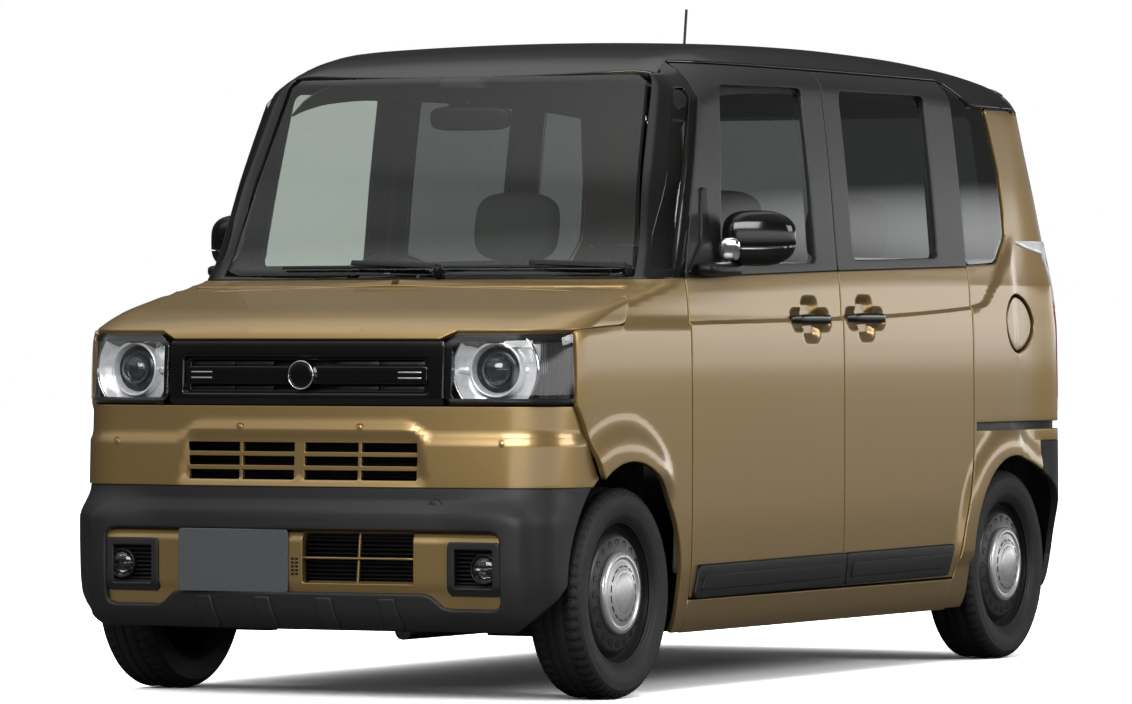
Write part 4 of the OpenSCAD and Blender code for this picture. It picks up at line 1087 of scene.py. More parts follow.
for part, finish, slot, wall, profile in (
        ("ring", dark_plastic_and_slot_shade, "black_plastic", 0.0015,
         [(0.040, -0.02), (0.040, 0.006), (0.037, 0.009), (0.034, 0.006), (0.033, -0.002)]),
        ("bowl", chrome, "cast_metal", 0.001,
         [(0.033, 0.0), (0.028, -0.016), (0.016, -0.026), (0.0, -0.028)]),
        ("bulb", chrome, "cast_metal", 0.001,
         [(0.0, -0.004), (0.006, -0.006), (0.010, -0.014), (0.010, -0.026)]),
        ("lens", clear_lens, "clear_glass", 0.002,
         [(0.0335, 0.001), (0.028, 0.007), (0.016, 0.011), (0.0, 0.0125)])):
    both_sides(lambda: turned(profile, fog_face, (0, -1, 0)), f"fog_{part}", finish, slot, wall=wall)

# Number plate: a blank stamped plate in dark grey, with rounded corners and a rolled rim.
# It stands off the insert on its bracket, to the right of the duct.
plate_grey = surface("plate_grey", (0.050, 0.052, 0.055), (0.062, 0.064, 0.068), 400, (0.4, 0.5), 0.08, 800)
bm = flat_sheet(spaced(-0.355, -0.025, 0.03), spaced(0.282, 0.447, 0.0275))
cut_sheet(bm, rounded(rectangle(-0.190, 0.3645, 0.326, 0.161), 0.010), True, 0.001)
for v in bm.verts:
    v.co = (v.co.x, -1.699, v.co.y)
bm.normal_update()
if sum(f.normal.y for f in bm.faces) > 0:
    bmesh.ops.reverse_faces(bm, faces=bm.faces)
    bm.normal_update()
roll_edges(bm, 0.002, 0.003)
finish_piece(bm, "plate_blank", plate_grey, "body", "plate", ["number_plate"], wall=0.0012)

# Grille: a gloss black moulding with a frame in two steps, a wide middle bar and thin slats behind.
# Two short bright dashes mark each end of the bar, and its middle has a bare round badge with a bright rim.
silver = surface("silver_lacquer", (0.52, 0.52, 0.53), (0.60, 0.60, 0.61), 900, (0.24, 0.32), 0.04, 700,
                 metallic=0.9)


def grille_place(s, z, depth=0.0):
    return nose_place(s, z, depth + 0.006)


frame_outer = on_front(rounded(rectangle(0, 0.8545, 0.812, 0.164), 0.008))
frame_inner = on_front(rounded(rectangle(0, 0.8500, 0.740, 0.104), 0.014))
bm = panel_sheet(grille_place, frame_outer, (), [frame_inner], step=0.012, edge=0.005, flange=0.03)
finish_piece(bm, "grille_frame", gloss_black, "body", "black_plastic", ["grille"], wall=0.002)
ring = on_front(rounded(rectangle(0, 0.8500, 0.748, 0.112), 0.016))
bm = panel_sheet(grille_place, ring, (), [on_front(rounded(rectangle(0, 0.8500, 0.706, 0.084), 0.012))],
                 step=0.012, depth=0.014, edge=0.002, flange=0.02)
finish_piece(bm, "grille_inner_frame", gloss_black, "body", "black_plastic", wall=0.002)
bm = panel_sheet(grille_place, on_front(rounded(rectangle(0, 0.8495, 0.716, 0.040), 0.004, 3)), step=0.014,
                 depth=0.008, edge=0.004, flange=0.018)
finish_piece(bm, "grille_bar", gloss_black, "body", "black_plastic", wall=0.002)
slats = [across_front(x0, x1, z, z + 0.012) for z in (0.810, 0.874) for x0, x1 in
         ((-0.35, -0.22), (-0.215, -0.10), (0.10, 0.215), (0.22, 0.35))]
bm = strips(grille_place, slats, 0.026)
finish_piece(bm, "grille_slats", dark_plastic_and_slot_shade, "body", "black_plastic", wall=0.004)
bm = strips(grille_place, [across_front(-0.40, 0.40, 0.780, 0.930)], 0.045)
finish_piece(bm, "grille_back", dark_plastic_and_slot_shade, "body", "black_plastic", wall=0.003)
dashes = [across_front(x0, x0 + 0.066, z, z + 0.0035) for x0 in (-0.345, 0.279) for z in (0.8405, 0.8555)]
bm = strips(grille_place, dashes, 0.0075)
finish_piece(bm, "grille_dashes", silver, "body", "cast_metal", wall=0.002)
face = grille_place(0.0, 0.8495, 0.006)
bm = turned([(0.0, 0.010), (0.030, 0.0085), (0.034, 0.0075), (0.034, -0.004)], face, (0, -1, 0.02))
finish_piece(bm, "badge_blank", gloss_black, "body", "black_plastic", wall=0.001)
bm = turned([(0.034, 0.004), (0.0352, 0.0092), (0.0372, 0.0096), (0.0386, 0.007), (0.0388, -0.004)], face,
            (0, -1, 0.02))
finish_piece(bm, "badge_rim", chrome, "body", "cast_metal", wall=0.001)

# Headlamps: a clear cover over a black tub, with a bright bowl cut off above and below and a round projector.
# The cover wraps round to the wing, over a bright arm and a fluted turn lamp; the tub is bolted to the nose.
LAMP = [(0.412, 0.796), (0.430, 0.772), (0.718, 0.772), (0.718, 0.960), (0.444, 0.958), (0.412, 0.932)]
LAMP_END = -1.5175
LAMP_CENTRE, LAMP_AIM = (0.541, -1.606, 0.864), (0.10, -1, 0.0)
lamp_black = surface("lamp_tub", (0.010, 0.010, 0.010), (0.018, 0.018, 0.018), 300, (0.25, 0.4), 0.1, 800)
bowl_silver = surface("bowl_silver", (0.74, 0.74, 0.75), (0.86, 0.86, 0.87), 60, (0.16, 0.24), 0.03, 200,
                      metallic=0.45)
lens_grey = surface("lens_grey", (0.05, 0.052, 0.055), (0.08, 0.082, 0.086), 60, (0.10, 0.18), 0.03, 200,
                    metallic=0.5)


def lamp_outline(margin):
    corners = [from_front(x, z) for x, z in grown(LAMP, margin)]
    low_end = from_side(LAMP_END - margin, 0.774 - margin)
    high_end = from_side(LAMP_END - margin, 0.958 + margin)
    low = [(u, 0.772 - margin) for u in spaced(corners[1][0] + 0.03, low_end[0] - 0.01, 0.05)]
    high = [(u, 0.959 + margin) for u in spaced(corners[4][0] + 0.03, high_end[0] - 0.01, 0.05)]
    return corners[:2] + low + [low_end, high_end] + high[::-1] + corners[4:]


def lamp_turn(profile, clip=None):
    bm = turned(profile, LAMP_CENTRE, LAMP_AIM, 72)
    if clip:
        for up in (-1, 1):
            bmesh.ops.bisect_plane(bm, geom=bm.verts[:] + bm.edges[:] + bm.faces[:],
                                   plane_co=(0, 0, LAMP_CENTRE[2] + up * clip), plane_no=(0, 0, up),
                                   clear_outer=True)
    return bm


both_sides(lambda: panel_sheet(nose_place, lamp_outline(-0.003), step=0.014, edge=0.003, flange=0.006),
           "lamp_cover", clear_lens, "clear_glass", replaced=["headlamp_lenses"], wall=0.0025)
both_sides(lambda: panel_sheet(nose_place, lamp_outline(-0.004), (), [lamp_outline(-0.017)], step=0.014,
                               depth=0.008, edge=0.002, flange=0.05),
           "lamp_rim", gloss_black, "black_plastic", replaced=["headlamps"], wall=0.002)
both_sides(lambda: panel_sheet(nose_place, lamp_outline(-0.006), step=0.014, depth=0.075, flange=0),
           "lamp_tub", lamp_black, "black_plastic", wall=0.003)
for part, finish, clip, profile in (
        ("bowl", bowl_silver, 0.079,
         [(0.119, 0.004), (0.114, 0.006), (0.108, -0.004), (0.090, -0.016), (0.074, -0.021)]),
        ("hoop", chrome, 0.081, [(0.1215, 0.002), (0.120, 0.010), (0.116, 0.011), (0.114, 0.004)]),
        ("ring", bowl_silver, None,
         [(0.076, -0.022), (0.074, 0.004), (0.070, 0.008), (0.066, 0.005), (0.060, -0.012)]),
        ("cone", lens_grey, None,
         [(0.061, -0.011), (0.052, -0.022), (0.044, -0.026), (0.041, -0.018), (0.037, -0.018)]),
        ("eye", lens_grey, None,
         [(0.040, -0.022), (0.036, -0.008), (0.026, 0.000), (0.012, 0.004), (0.0, 0.005)])):
    both_sides(lambda: lamp_turn(profile, clip), f"lamp_{part}", finish, "cast_metal", wall=0.0012)
projector = [(0.042, -0.012), (0.038, 0.006), (0.026, 0.014), (0.012, 0.018), (0.0, 0.019)]
both_sides(lambda: lamp_turn(projector), "projector_lens", clear_lens, "clear_glass", wall=0.002)
bars = [across_front(a, b, 0.856, 0.872) for a, b in ((0.430, 0.468), (0.612, 0.650))]
both_sides(lambda: strips(nose_place, bars, 0.040, 0.01), "lamp_bars", bowl_silver, "cast_metal", wall=0.006)
u0, u1 = from_front(0.645, 0.86)[0], from_side(-1.585, 0.86)[0]
arm = [(u0, u1, 0.886, 0.940), (u0 + 0.012, u1 + 0.004, 0.852, 0.884)]
both_sides(lambda: strips(nose_place, arm, 0.024, 0.01), "lamp_arm", bowl_silver, "cast_metal", wall=0.002)
u0, u1 = from_side(-1.600, 0.86)[0], from_side(-1.526, 0.86)[0]
flutes = [(u, u + 0.003, 0.785, 0.947) for u in spaced(u0, u1, 0.006)]
both_sides(lambda: strips(nose_place, flutes, 0.012, 0.01), "lamp_flutes", lamp_black, "black_plastic",
           wall=0.004)

# Cowl and wipers: a black plastic tray under the windscreen, clipped between the bonnet and the glass.
# Two sprung steel arms, painted black, turn on posts in it and rest rubber blades on the glass.
cowl_low = [from_front(x, solve(lambda h: plain_point(from_front(x, h)[0], h).y, 0.97, 1.1095, True, -1.094))
            for x in spaced(-0.640, 0.640, 0.04)]
cowl_top = [from_front(x, 1.1145) for x in spaced(-0.632, 0.632, 0.04)[::-1]]
bm = panel_sheet(nose_place, cowl_low + cowl_top, step=0.02, rows=spaced(1.086, 1.116, 0.002), depth=0.012,
                 edge=0.001, flange=0.0)
finish_piece(bm, "cowl_tray", dark_plastic_and_slot_shade, "body", "black_plastic", ["cowl"], wall=0.002)


def wiper(x0, x1, pivot):
    blade = strips(nose_place, [across_front(x0, x1, 1.1275, 1.1335)], -0.013, 0.02)
    arm = flat_sheet(spaced(0, 1, 0.05), [0.0, 1.0])
    for v in arm.verts:
        x = pivot + ((x0 + x1) / 2 - pivot) * v.co.x
        v.co = nose_place(from_front(x, 1.118)[0], 1.1195 + 0.011 * v.co.x + 0.012 * v.co.y, -0.020)
    arm.normal_update()
    joined(blade, arm)
    turned([(0.0, 0.030), (0.009, 0.029), (0.012, 0.025), (0.0135, 0.0)],
           nose_place(from_front(pivot, 1.118)[0], 1.118, 0.008), (0, -0.5, 0.86), 24, blade)
    return blade


finish_piece(wiper(-0.430, 0.020, 0.060), "wiper_right", dark_plastic_and_slot_shade, "body", "black_plastic", ["wipers"],
             wall=0.005)
finish_piece(wiper(0.075, 0.590, 0.610), "wiper_left", dark_plastic_and_slot_shade, "body", "black_plastic", wall=0.005)

# Door handles: a gloss black moulded grip that bridges the pressed cup and turns in to the door at both ends.
# It is drawn as a rounded block bent at its ends, and pivots on the door's skin.
def cushion(half, centre, turn=(0, 0, 0), cuts=9, power=4.0, shape=None):
    bm = bmesh.new()
    bmesh.ops.create_cube(bm, size=2)
    bmesh.ops.subdivide_edges(bm, edges=bm.edges, cuts=cuts, use_grid_fill=True)
    spin = Euler([math.radians(a) for a in turn]).to_matrix()
    for v in bm.verts:
        length = sum(abs(c) ** power for c in v.co) ** (1 / power)
        p = v.co / length
        if shape:
            p = shape(p)
        v.co = Vector(centre) + spin @ Vector([c * h for c, h in zip(p, half)])
    bm.normal_update()
    return bm


def bent_grip(p):
    return Vector((p.x - 1.5 * ease((abs(p.y) - 0.72) / 0.26), p.y, p.z * (1 - 0.25 * p.y * p.y)))


for middle, height, body in ((*HANDLES[0], "front_door"), (*HANDLES[1], "body")):
    x = side_place(middle + 0.13, height).x + 0.010
    both_sides(lambda: cushion((0.0095, 0.125, 0.0155), (x, middle, height), cuts=11, shape=bent_grip),
               "front_grip" if body == "front_door" else "sliding_grip", gloss_black, "black_plastic", body,
               wall=0)

# Garnish: a grained plastic strip along the foot of each door, standing a little proud.
# It has a raised face with softly rounded ends, and is clipped into the door's skin.
for name, body, ends in (("front_garnish", "front_door", (-0.842, 0.091, 0.091, -0.824)),
                         ("sliding_garnish", "body", (0.105, 0.812, 0.840, 0.105))):
    low, high = (0.256, 0.262) if body == "front_door" else (0.262, 0.266)
    strip = [(ends[0], low), (ends[1], high), (ends[2], high + 0.080), (ends[3], low + 0.080)]
    both_sides(lambda: panel_sheet(side_place, rounded(strip, 0.008, 3), depth=-0.011, edge=0.005,
                                   flange=0.013), name, dark_plastic_and_slot_shade, "black_plastic", body,
               ["front_door_trim"] if body == "front_door" else ["sliding_door_trim"], wall=0.002)
    face = [(strip[0][0] + 0.03, low + 0.020), (strip[1][0] - 0.03, high + 0.020),
            (strip[2][0] - 0.03, high + 0.056), (strip[3][0] + 0.03, low + 0.056)]
    both_sides(lambda: panel_sheet(side_place, rounded(face, 0.006, 3), depth=-0.014, edge=0.003,
                                   flange=0.006), f"{name}_face", dark_plastic_and_slot_shade, "black_plastic", body,
               wall=0.002)

# Door mirrors: a gloss black domed shell over a matt tray, a bright line between, and silvered glass behind.
# The head stands on a foot at the door's front corner, with a small aid mirror under its inner front edge.
MIRROR = Vector((0.806, -0.588, 1.214))
MIRROR_TURN = (0, 0, 24)


def mirror_top(p):
    sweep = 1 - 0.22 * max(p.x, 0) ** 2
    return Vector((p.x, min(p.y, 0.40) * sweep, max(p.z, -0.32) * sweep))


def mirror_tray(p):
    sweep = 1 - 0.20 * max(p.x, 0) ** 2
    return Vector((p.x * 0.985, min(p.y, 0.42) * sweep, min(p.z, -0.40) * sweep))


for name, part, gloss in (("mirror_cap", mirror_top, gloss_black),
                          ("mirror_tray", mirror_tray, dark_plastic_and_slot_shade)):
    both_sides(lambda: cushion((0.100, 0.058, 0.075), MIRROR, MIRROR_TURN, cuts=13, power=3.4, shape=part),
               name, gloss, "black_plastic", "front_door", wall=0)
both_sides(lambda: cushion((0.086, 0.036, 0.050), MIRROR - Vector((0, 0.010, 0.010)), MIRROR_TURN, power=3.0),
           "mirror_core", chrome, "steel", "front_door", wall=0)
both_sides(lambda: cushion((0.034, 0.120, 0.018), (0.744, -0.705, 1.130), (0, 0, 6), power=4.0),
           "mirror_foot", dark_plastic_and_slot_shade, "black_plastic", "front_door", wall=0)
base = rounded([(-0.838, 1.122), (-0.690, 1.126), (-0.694, 1.200), (-0.704, 1.345), (-0.722, 1.345),
                (-0.752, 1.200)], 0.008)
both_sides(lambda: panel_sheet(side_place, base, depth=-0.007, edge=0.004, flange=0.010), "mirror_base",
           dark_plastic_and_slot_shade, "black_plastic", "front_door", wall=0.002)


def mirror_glass():
    sheet = flat_sheet(spaced(-0.091, 0.091, 0.007), spaced(-0.063, 0.063, 0.007))
    cut_sheet(sheet, rounded(rectangle(0, 0, 0.170, 0.118), 0.036), True, 0.001)
    turn = Euler([math.radians(a) for a in MIRROR_TURN]).to_matrix()
    for v in sheet.verts:
        v.co = MIRROR + turn @ Vector((-v.co.x, 0.0262 - 0.5 * v.co.x ** 2, v.co.y))
    sheet.normal_update()
    return sheet


both_sides(mirror_glass, "mirror_silvering", chrome, "steel", "front_door", wall=0.002)
both_sides(lambda: cushion((0.030, 0.014, 0.032), (0.754, -0.662, 1.184), (4, 0, 14), power=3.2),
           "mirror_aid", chrome, "steel", "front_door", wall=0)

# Wheels: black pressed steel discs with a ring of round vents, drawn as shallow near-black dishes of painted
# shade rather than holes, and a bright domed cap clipped over the nuts.
# The 155-section tyres have three grooves round the tread, notched shoulders and a stepped side wall.
WHEEL_X, WHEEL_Z = 0.648, 0.278
VENTS, CAP_SLOTS = 20, 16
sidewall = [(0.1835, 0.0585), (0.1915, 0.0600), (0.1945, 0.0660), (0.200, 0.0700), (0.2065, 0.0722),
            (0.2085, 0.0738), (0.2120, 0.0738), (0.2140, 0.0745), (0.228, 0.0775), (0.240, 0.0776),
            (0.2505, 0.0764), (0.252, 0.0770), (0.2545, 0.0768), (0.2560, 0.0755), (0.2640, 0.0715),
            (0.2700, 0.0660), (0.2745, 0.0580), (0.2762, 0.0500)]
tread = []
for middle in (0.030, 0.0, -0.030):
    tread += [(0.2772 - 3.0 * middle ** 2, middle + 0.0040), (0.2705, middle + 0.0028),
              (0.2705, middle - 0.0028), (0.2772 - 3.0 * middle ** 2, middle - 0.0040)]
tyre_profile = sidewall + tread + [(r, -h) for r, h in sidewall[::-1]]
rubber = surface("tyre_rubber", (0.007, 0.007, 0.007), (0.012, 0.012, 0.012), 300, (0.5, 0.7), 0.3, 900)
black_steel = surface("wheel_steel", (0.012, 0.012, 0.013), (0.018, 0.018, 0.019), 300, (0.25, 0.36), 0.1,
                      700)
# Near black and all but unreflecting: painted shade standing for the dark seen through the vent holes, which
# the disc does not have.
vent_shade = surface("vent_shade", (0.001, 0.001, 0.001), (0.002, 0.002, 0.002), 300, (0.7, 0.8), 0.1, 700,
                     specular=0.1)
cap_silver = surface("cap_silver", (0.58, 0.58, 0.59), (0.66, 0.66, 0.67), 300, (0.26, 0.32), 0.01, 300,
                     metallic=0.8)
for corner, x, y in (("front_left", WHEEL_X, FRONT_AXLE), ("front_right", -WHEEL_X, FRONT_AXLE),
                     ("rear_left", WHEEL_X, REAR_AXLE), ("rear_right", -WHEEL_X, REAR_AXLE)):
    centre, out = (x, y, WHEEL_Z), (math.copysign(1, x), 0, 0)
    bm = turned(tyre_profile, centre, out, 120)
    notched = []
    for f in bm.faces:
        c = f.calc_center_median() - Vector(centre)
        reach, turn = math.hypot(c.y, c.z), math.degrees(math.atan2(c.z, c.y)) % 6
        if reach > 0.266 and abs(c.x) > 0.038 and turn < 3:
            notched.append(f)
    bmesh.ops.inset_individual(bm, faces=notched, thickness=0.0012, depth=-0.003)
    finish_piece(bm, f"tyre_casing_{corner}", rubber, f"wheel_{corner}", "tyre", [f"tyre_{corner}"],
                 wall=0.006)
    bm = turned([(0.1950, 0.0560), (0.1985, 0.0610), (0.1960, 0.0650), (0.1915, 0.0640), (0.1875, 0.0560),
                 (0.1850, 0.0400), (0.1800, 0.0280), (0.1720, 0.0270), (0.1640, 0.0360), (0.1560, 0.0480),
                 (0.1480, 0.0530), (0.1180, 0.0550), (0.1100, 0.0590), (0.0400, 0.0590), (0.0, 0.0590)],
                centre, out, 96)
    turned([(0.1835, 0.0300), (0.1790, 0.0100), (0.1790, -0.0300), (0.1850, -0.0500), (0.1960, -0.0620)],
           centre, out, 96, bm)
    finish_piece(bm, f"wheel_disc_{corner}", black_steel, f"wheel_{corner}", "wheel_steel",
                 [f"wheel_{corner}"], wall=0.003)
    # Vents: flat dishes laid on the disc in painted shade, not holes through it.
    bm = bmesh.new()
    for k in range(VENTS):
        angle = math.tau * k / VENTS
        vent = Vector(centre) + Vector((out[0] * 0.0532, 0.1335 * math.cos(angle), 0.1335 * math.sin(angle)))
        turned([(0.0092, 0.0012), (0.0078, 0.0016), (0.0072, -0.0020), (0.0, -0.0022)], vent, out, 20, bm)
    finish_piece(bm, f"wheel_vent_shade_{corner}", vent_shade, f"wheel_{corner}", "black_plastic", wall=0.0008)
    bm = turned([(0.1085, 0.0560), (0.1088, 0.0655), (0.1045, 0.0713), (0.0950, 0.0728), (0.0918, 0.0710),
                 (0.0905, 0.0690), (0.0860, 0.0692), (0.0600, 0.0748), (0.0550, 0.0760), (0.0535, 0.0750),
                 (0.0518, 0.0772), (0.0300, 0.0794), (0.0, 0.0800)], centre, out, 96)
    finish_piece(bm, f"wheel_cap_{corner}", cap_silver, f"wheel_{corner}", "steel", wall=0.0012)
    # Cap slots: thin dark strips laid on the cap, a painted shade where its slots would open.
    bm = bmesh.new()
    for k in range(CAP_SLOTS):
        angle = math.tau * (k + 0.5) / CAP_SLOTS
        slot = flat_sheet(spaced(-0.13, 0.13, 0.05), [0.070, 0.0725])
        for v in slot.verts:
            a, r = angle + v.co.x, v.co.y
            rise = out[0] * (0.0751 - (r - 0.06) * 0.19)
            v.co = Vector(centre) + Vector((rise, r * math.cos(a), r * math.sin(a)))
        joined(bm, slot)
    finish_piece(bm, f"cap_slot_shade_{corner}", dark_plastic_and_slot_shade, f"wheel_{corner}", "black_plastic", wall=0.0008)

# Rear end: the tailgate's painted steel skin and bonded dark glass under a black spoiler, hinged at the roof.
# Tall lamps stand at the corners beside a rubber seal, and a grained plastic bumper closes the foot.
GATE_EDGE = 0.583


def on_rear(points, step=0.04):
    return laid_out(points, from_rear, step)


gate = on_rear([(0.0005, 0.652), (GATE_EDGE, 0.652), (GATE_EDGE, 1.610), (0.0005, 1.610)])
window_half = on_rear([(0.0005, 1.130), (0.470, 1.130), (0.498, 1.150), (0.506, 1.180), (0.486, 1.590),
                       (0.470, 1.612), (0.0005, 1.612)])
gate_pane = on_rear([(0.0005, 1.124), (0.475, 1.124), (0.512, 1.150), (0.490, 1.608), (0.0005, 1.608)])


def rear_skin(r, z, depth=0.0):
    p = rear_place(r, z, depth)
    if p.x < 0.0012:
        p.x = 0.0
    return p


bm = panel_sheet(rear_skin, gate, (), [window_half])
finish_piece(bm, "tailgate_skin", body_paint, "tailgate", "body_paint", ["tailgate"], mirror=True)
bm = panel_sheet(rear_skin, gate_pane, depth=0.007, flange=0)
finish_piece(bm, "tailgate_pane", privacy_glass, "tailgate", "dark_glass", ["tailgate_glass"], wall=0.004,
             mirror=True)
across = (GATE_EDGE, 0.56, 0.53, 0.49, 0.4, 0.3, 0.2, 0.1, 0.0005)
spoiler = [(0.0005, 1.616), (GATE_EDGE, 1.616)] + [(x, roof_height(x, 1.50) - 0.016) for x in across]
bm = panel_sheet(rear_skin, on_rear(spoiler), depth=-0.012, edge=0.008, flange=0.03)
for v in bm.verts:
    folded_in = v.co.y < rear_skin(from_rear(v.co.x, 1.66)[0], 1.66).y - 0.036
    if folded_in and v.co.z > roof_height(v.co.x, 1.50) - 0.03:
        v.co.y = ROOF_END + 0.011
        v.co.z = roof_height(v.co.x, v.co.y) - 0.006
finish_piece(bm, "tailgate_spoiler", roof_paint, "tailgate", "roof_paint", mirror=True)
seal = on_rear([(0.545, 0.60), (0.632, 0.60), (0.632, 1.60), (0.545, 1.60)])
both_sides(lambda: panel_sheet(rear_place, seal, depth=0.024, flange=0), "gate_seal", dark_plastic_and_slot_shade,
           "black_plastic", wall=0.004)
handle_bar = on_rear([(0.0005, 1.030), (0.40, 1.030), (0.40, 1.075), (0.0005, 1.075)])
bm = panel_sheet(rear_skin, handle_bar, depth=-0.010, edge=0.005, flange=0.012)
finish_piece(bm, "tailgate_grip", guard_plastic, "tailgate", "black_plastic", wall=0.002, mirror=True)
red_lens = surface("red_lens", (0.25, 0.006, 0.008), (0.33, 0.010, 0.012), 200, (0.05, 0.10), 0.05, 300,
                   coat=1.0)
pale_lens = surface("pale_lens", (0.55, 0.55, 0.56), (0.66, 0.66, 0.67), 200, (0.05, 0.10), 0.05, 300,
                    coat=1.0)
for name, lens, low, high in (("stop", red_lens, 0.766, 1.040), ("turn", pale_lens, 1.044, 1.226)):
    edge = [from_rear(0.5955, low + (high - low) * k / 6) for k in range(7)]
    back = [from_rear(0.706, high - (high - low) * k / 6) for k in range(7)]
    both_sides(lambda: panel_sheet(rear_place, edge + back, depth=-0.004, edge=0.005, flange=0.016),
               f"{name}_lamp", lens, "lamp_red", replaced=["rear_lamps"] if name == "stop" else [],
               wall=0.003)
bumper_line = [from_rear(x, 0.205) for x in spaced(0.0005, 0.64, 0.04)]
bumper_line += [(1.520, 0.205), (1.4535, 0.240), (1.4535, 0.636)]
bumper_line += [from_rear(x, 0.638) for x in spaced(0.0005, 0.66, 0.04)[::-1]]
bm = panel_sheet(rear_skin, bumper_line, (), [rear_arch], edge=0.006, flange=0.022)
finish_piece(bm, "rear_bumper_cover", guard_plastic, "body", "black_plastic", ["rear_bumper"], wall=0.003,
             mirror=True)

# Seats: cloth over foam, a front pair and a rear pair bolted to the floor.
# Each is a crowned squab, a back with seams beside its bolsters, and a headrest on two posts.
seat_cloth = surface("seat_cloth", (0.055, 0.058, 0.054), (0.085, 0.088, 0.082), 900, (0.75, 0.9), 0.4, 1500)


def crowned(p):
    seam = 0.05 * (ease((abs(p.x) - 0.52) / 0.06) - ease((abs(p.x) - 0.62) / 0.06))
    return Vector((p.x, p.y * (1 - seam), p.z * (1 - seam)))


for row, y, half, apart in (("front", -0.480, 0.255, 0.320), ("rear", 0.590, 0.208, 0.225)):
    for side, x in (("left", apart), ("right", -apart)):
        squab = cushion((half, 0.255, 0.085), (x, y + 0.250, 0.535), (4, 0, 0), 13, 4.5, crowned)
        back = cushion((half, 0.075, 0.300), (x, y + 0.535, 0.850), (-14, 0, 0), 13, 4.5, crowned)
        rest = cushion((0.128, 0.050, 0.098), (x, y + 0.640, 1.262), (-10, 0, 0), 9, 3.4)
        seat = joined(squab, back, rest)
        for post in (-0.05, 0.05):
            turned([(0.006, -0.07), (0.006, 0.07)], (x + post, y + 0.615, 1.160), (0, 0.2, 1), 12, seat)
        piece = finish_piece(seat, f"{row}_seat_{side}", seat_cloth, "body", "seat_fabric",
                             ["seats"] if (row, side) == ("front", "left") else [], wall=0)

# Dashboard: a moulded plastic shelf across the car, screwed to the bulkhead.
# It has a hooded display before the driver, a screen in the middle and a padded lip on the other side.
bm = bmesh.new()
profile = [(-0.872, 0.72), (-0.640, 0.72), (-0.600, 0.80), (-0.612, 0.940), (-0.650, 1.000), (-0.760, 1.036),
           (-0.872, 1.046)]
face = bmesh.ops.contextual_create(bm, geom=[bm.verts.new((-0.620, y, z)) for y, z in profile])["faces"][0]
moved = bmesh.ops.extrude_face_region(bm, geom=[face])["geom"]
bmesh.ops.translate(bm, verts=[v for v in moved if isinstance(v, bmesh.types.BMVert)], vec=(1.24, 0, 0))
bmesh.ops.recalc_face_normals(bm, faces=bm.faces)
bmesh.ops.bevel(bm, geom=bm.edges[:], offset=0.018, offset_type="OFFSET", segments=3, profile=0.5,
                affect="EDGES", material=-1)
joined(bm, cushion((0.175, 0.095, 0.050), (-0.330, -0.725, 1.040), (-8, 0, 0), 9, 4.0),
       cushion((0.120, 0.014, 0.070), (0.020, -0.668, 1.045), (-12, 0, 0), 9, 8.0),
       cushion((0.300, 0.030, 0.030), (0.330, -0.628, 0.905), (0, 0, 0), 9, 4.0))
finish_piece(bm, "dashboard_moulding", pillar_film, "body", "black_plastic", ["dashboard"], wall=0)

# Steering wheel: a thin padded rim on three spokes round a soft centre.
# It turns on the column, before the driver on the car's right.
rake = math.radians(62)
wheel_at, wheel_axis = Vector((-0.330, -0.500, 1.010)), Vector((0, math.sin(rake), math.cos(rake)))
rim = [(0.178 + 0.0145 * math.cos(math.tau * k / 12), 0.0145 * math.sin(math.tau * k / 12))
       for k in range(13)]
bm = turned(rim, wheel_at, wheel_axis, 64)
bmesh.ops.remove_doubles(bm, verts=bm.verts, dist=0.0002)
hub = wheel_at - wheel_axis * 0.010
joined(bm, cushion((0.064, 0.052, 0.022), wheel_at - wheel_axis * 0.012, (-28, 0, 0), 9, 3.0),
       cushion((0.168, 0.014, 0.009), hub, (-28, 0, 0), 9, 6.0),
       cushion((0.016, 0.088, 0.008), hub + Vector((0, 0.040, -0.076)), (-62, 0, 0), 9, 6.0))
finish_piece(bm, "steering_wheel_rim", dark_plastic_and_slot_shade, "steering_wheel", "black_plastic", ["steering_wheel"],
             wall=0)

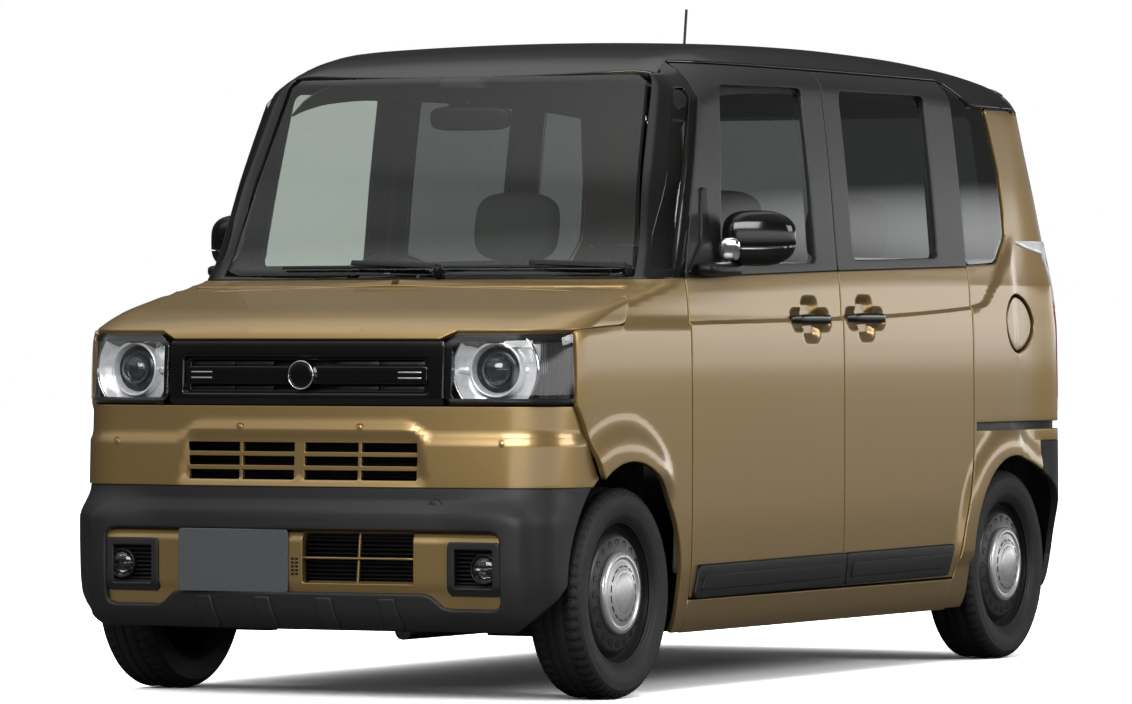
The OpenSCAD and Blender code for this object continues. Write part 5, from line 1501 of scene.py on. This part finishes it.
# Cabin lining: a pale cloth ceiling glued under the roof and cloth door cards below the belt line.
# The interior mirror and a camera's cover hang from the top of the windscreen.
lining = surface("lining", (0.20, 0.19, 0.165), (0.26, 0.245, 0.215), 700, (0.8, 0.95), 0.3, 1500)
bm = flat_sheet(spaced(-0.60, 0.60, 0.04), spaced(-0.66, 1.42, 0.04))
for v in bm.verts:
    v.co.z = roof_height(v.co.x, v.co.y) - 0.045 - 0.05 * (v.co.x / 0.6) ** 6
bm.normal_update()
finish_piece(bm, "ceiling_cloth", lining, "body", "seat_fabric", wall=0.006)
both_sides(lambda: panel_sheet(side_place, grown(FRONT_DOOR, -0.06), [below_belt(0.0)], depth=0.075,
                               step=0.03, flange=0.01), "front_door_card", lining, "seat_fabric",
           "front_door", wall=0.004)
both_sides(lambda: panel_sheet(side_place, grown(SLIDING_DOOR, -0.06), [below_belt(0.0)],
                               [grown(rear_arch, 0.05)], depth=0.075, step=0.03, flange=0.01),
           "sliding_door_card", lining, "seat_fabric", wall=0.004)
mirror_y, stem_y, cover_y = [nose_place(0.0, z).y for z in (1.545, 1.575, 1.600)]
bm = joined(cushion((0.118, 0.014, 0.034), (0.0, mirror_y + 0.110, 1.545), (8, 0, 6), 9, 4.0),
            cushion((0.085, 0.070, 0.022), (0.0, cover_y + 0.085, 1.610), (-25, 0, 0), 9, 5.0),
            cushion((0.012, 0.030, 0.012), (0.0, stem_y + 0.100, 1.575), (-30, 0, 0), 5, 4.0))
finish_piece(bm, "mirror_and_camera", dark_plastic_and_slot_shade, "body", "black_plastic", ["interior_mirror"], wall=0)

# Aerial foot: a rubber boot near the roof's rear edge, bolted through the roof.
# The rod in it is the frame's own solid.
AERIAL_X, AERIAL_Y = -0.330, 1.252
bm = turned([(0.021, -0.006), (0.0205, 0.004), (0.014, 0.014), (0.0085, 0.034), (0.0050, 0.040),
             (0.0, 0.0405)], (AERIAL_X, AERIAL_Y, roof_height(AERIAL_X, AERIAL_Y)), (0, 0.13, 0.99), 32)
finish_piece(bm, "aerial_foot", dark_plastic_and_slot_shade, "body", "black_plastic", wall=0.001)

# Running gear and small metal: these keep their solids from the frame.
# The castings and the exhaust are bare steel, the pressings under the floor have a coat of black sealing wax,
# and the small outer pieces are black plastic.
bare_steel = surface("bare_steel", (0.20, 0.20, 0.21), (0.30, 0.30, 0.31), 80, (0.35, 0.5), 0.1, 300,
                     metallic=0.9)
under_seal = surface("under_seal", (0.004, 0.004, 0.004), (0.008, 0.008, 0.008), 60, (0.6, 0.8), 0.4, 200)
finishes = {"floor_pan": under_seal, "wheel_houses": under_seal, "engine": bare_steel,
            "front_subframe": under_seal, "rear_axle_beam": under_seal, "exhaust": bare_steel,
            "fuel_tank": under_seal, "antenna": dark_plastic_and_slot_shade, "hinge_pins": bare_steel,
            "rear_wiper": dark_plastic_and_slot_shade, "knuckle_left": bare_steel, "knuckle_right": bare_steel}
for name, material in finishes.items():
    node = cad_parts[name]
    node.data.materials.clear()
    node.data.materials.append(material)
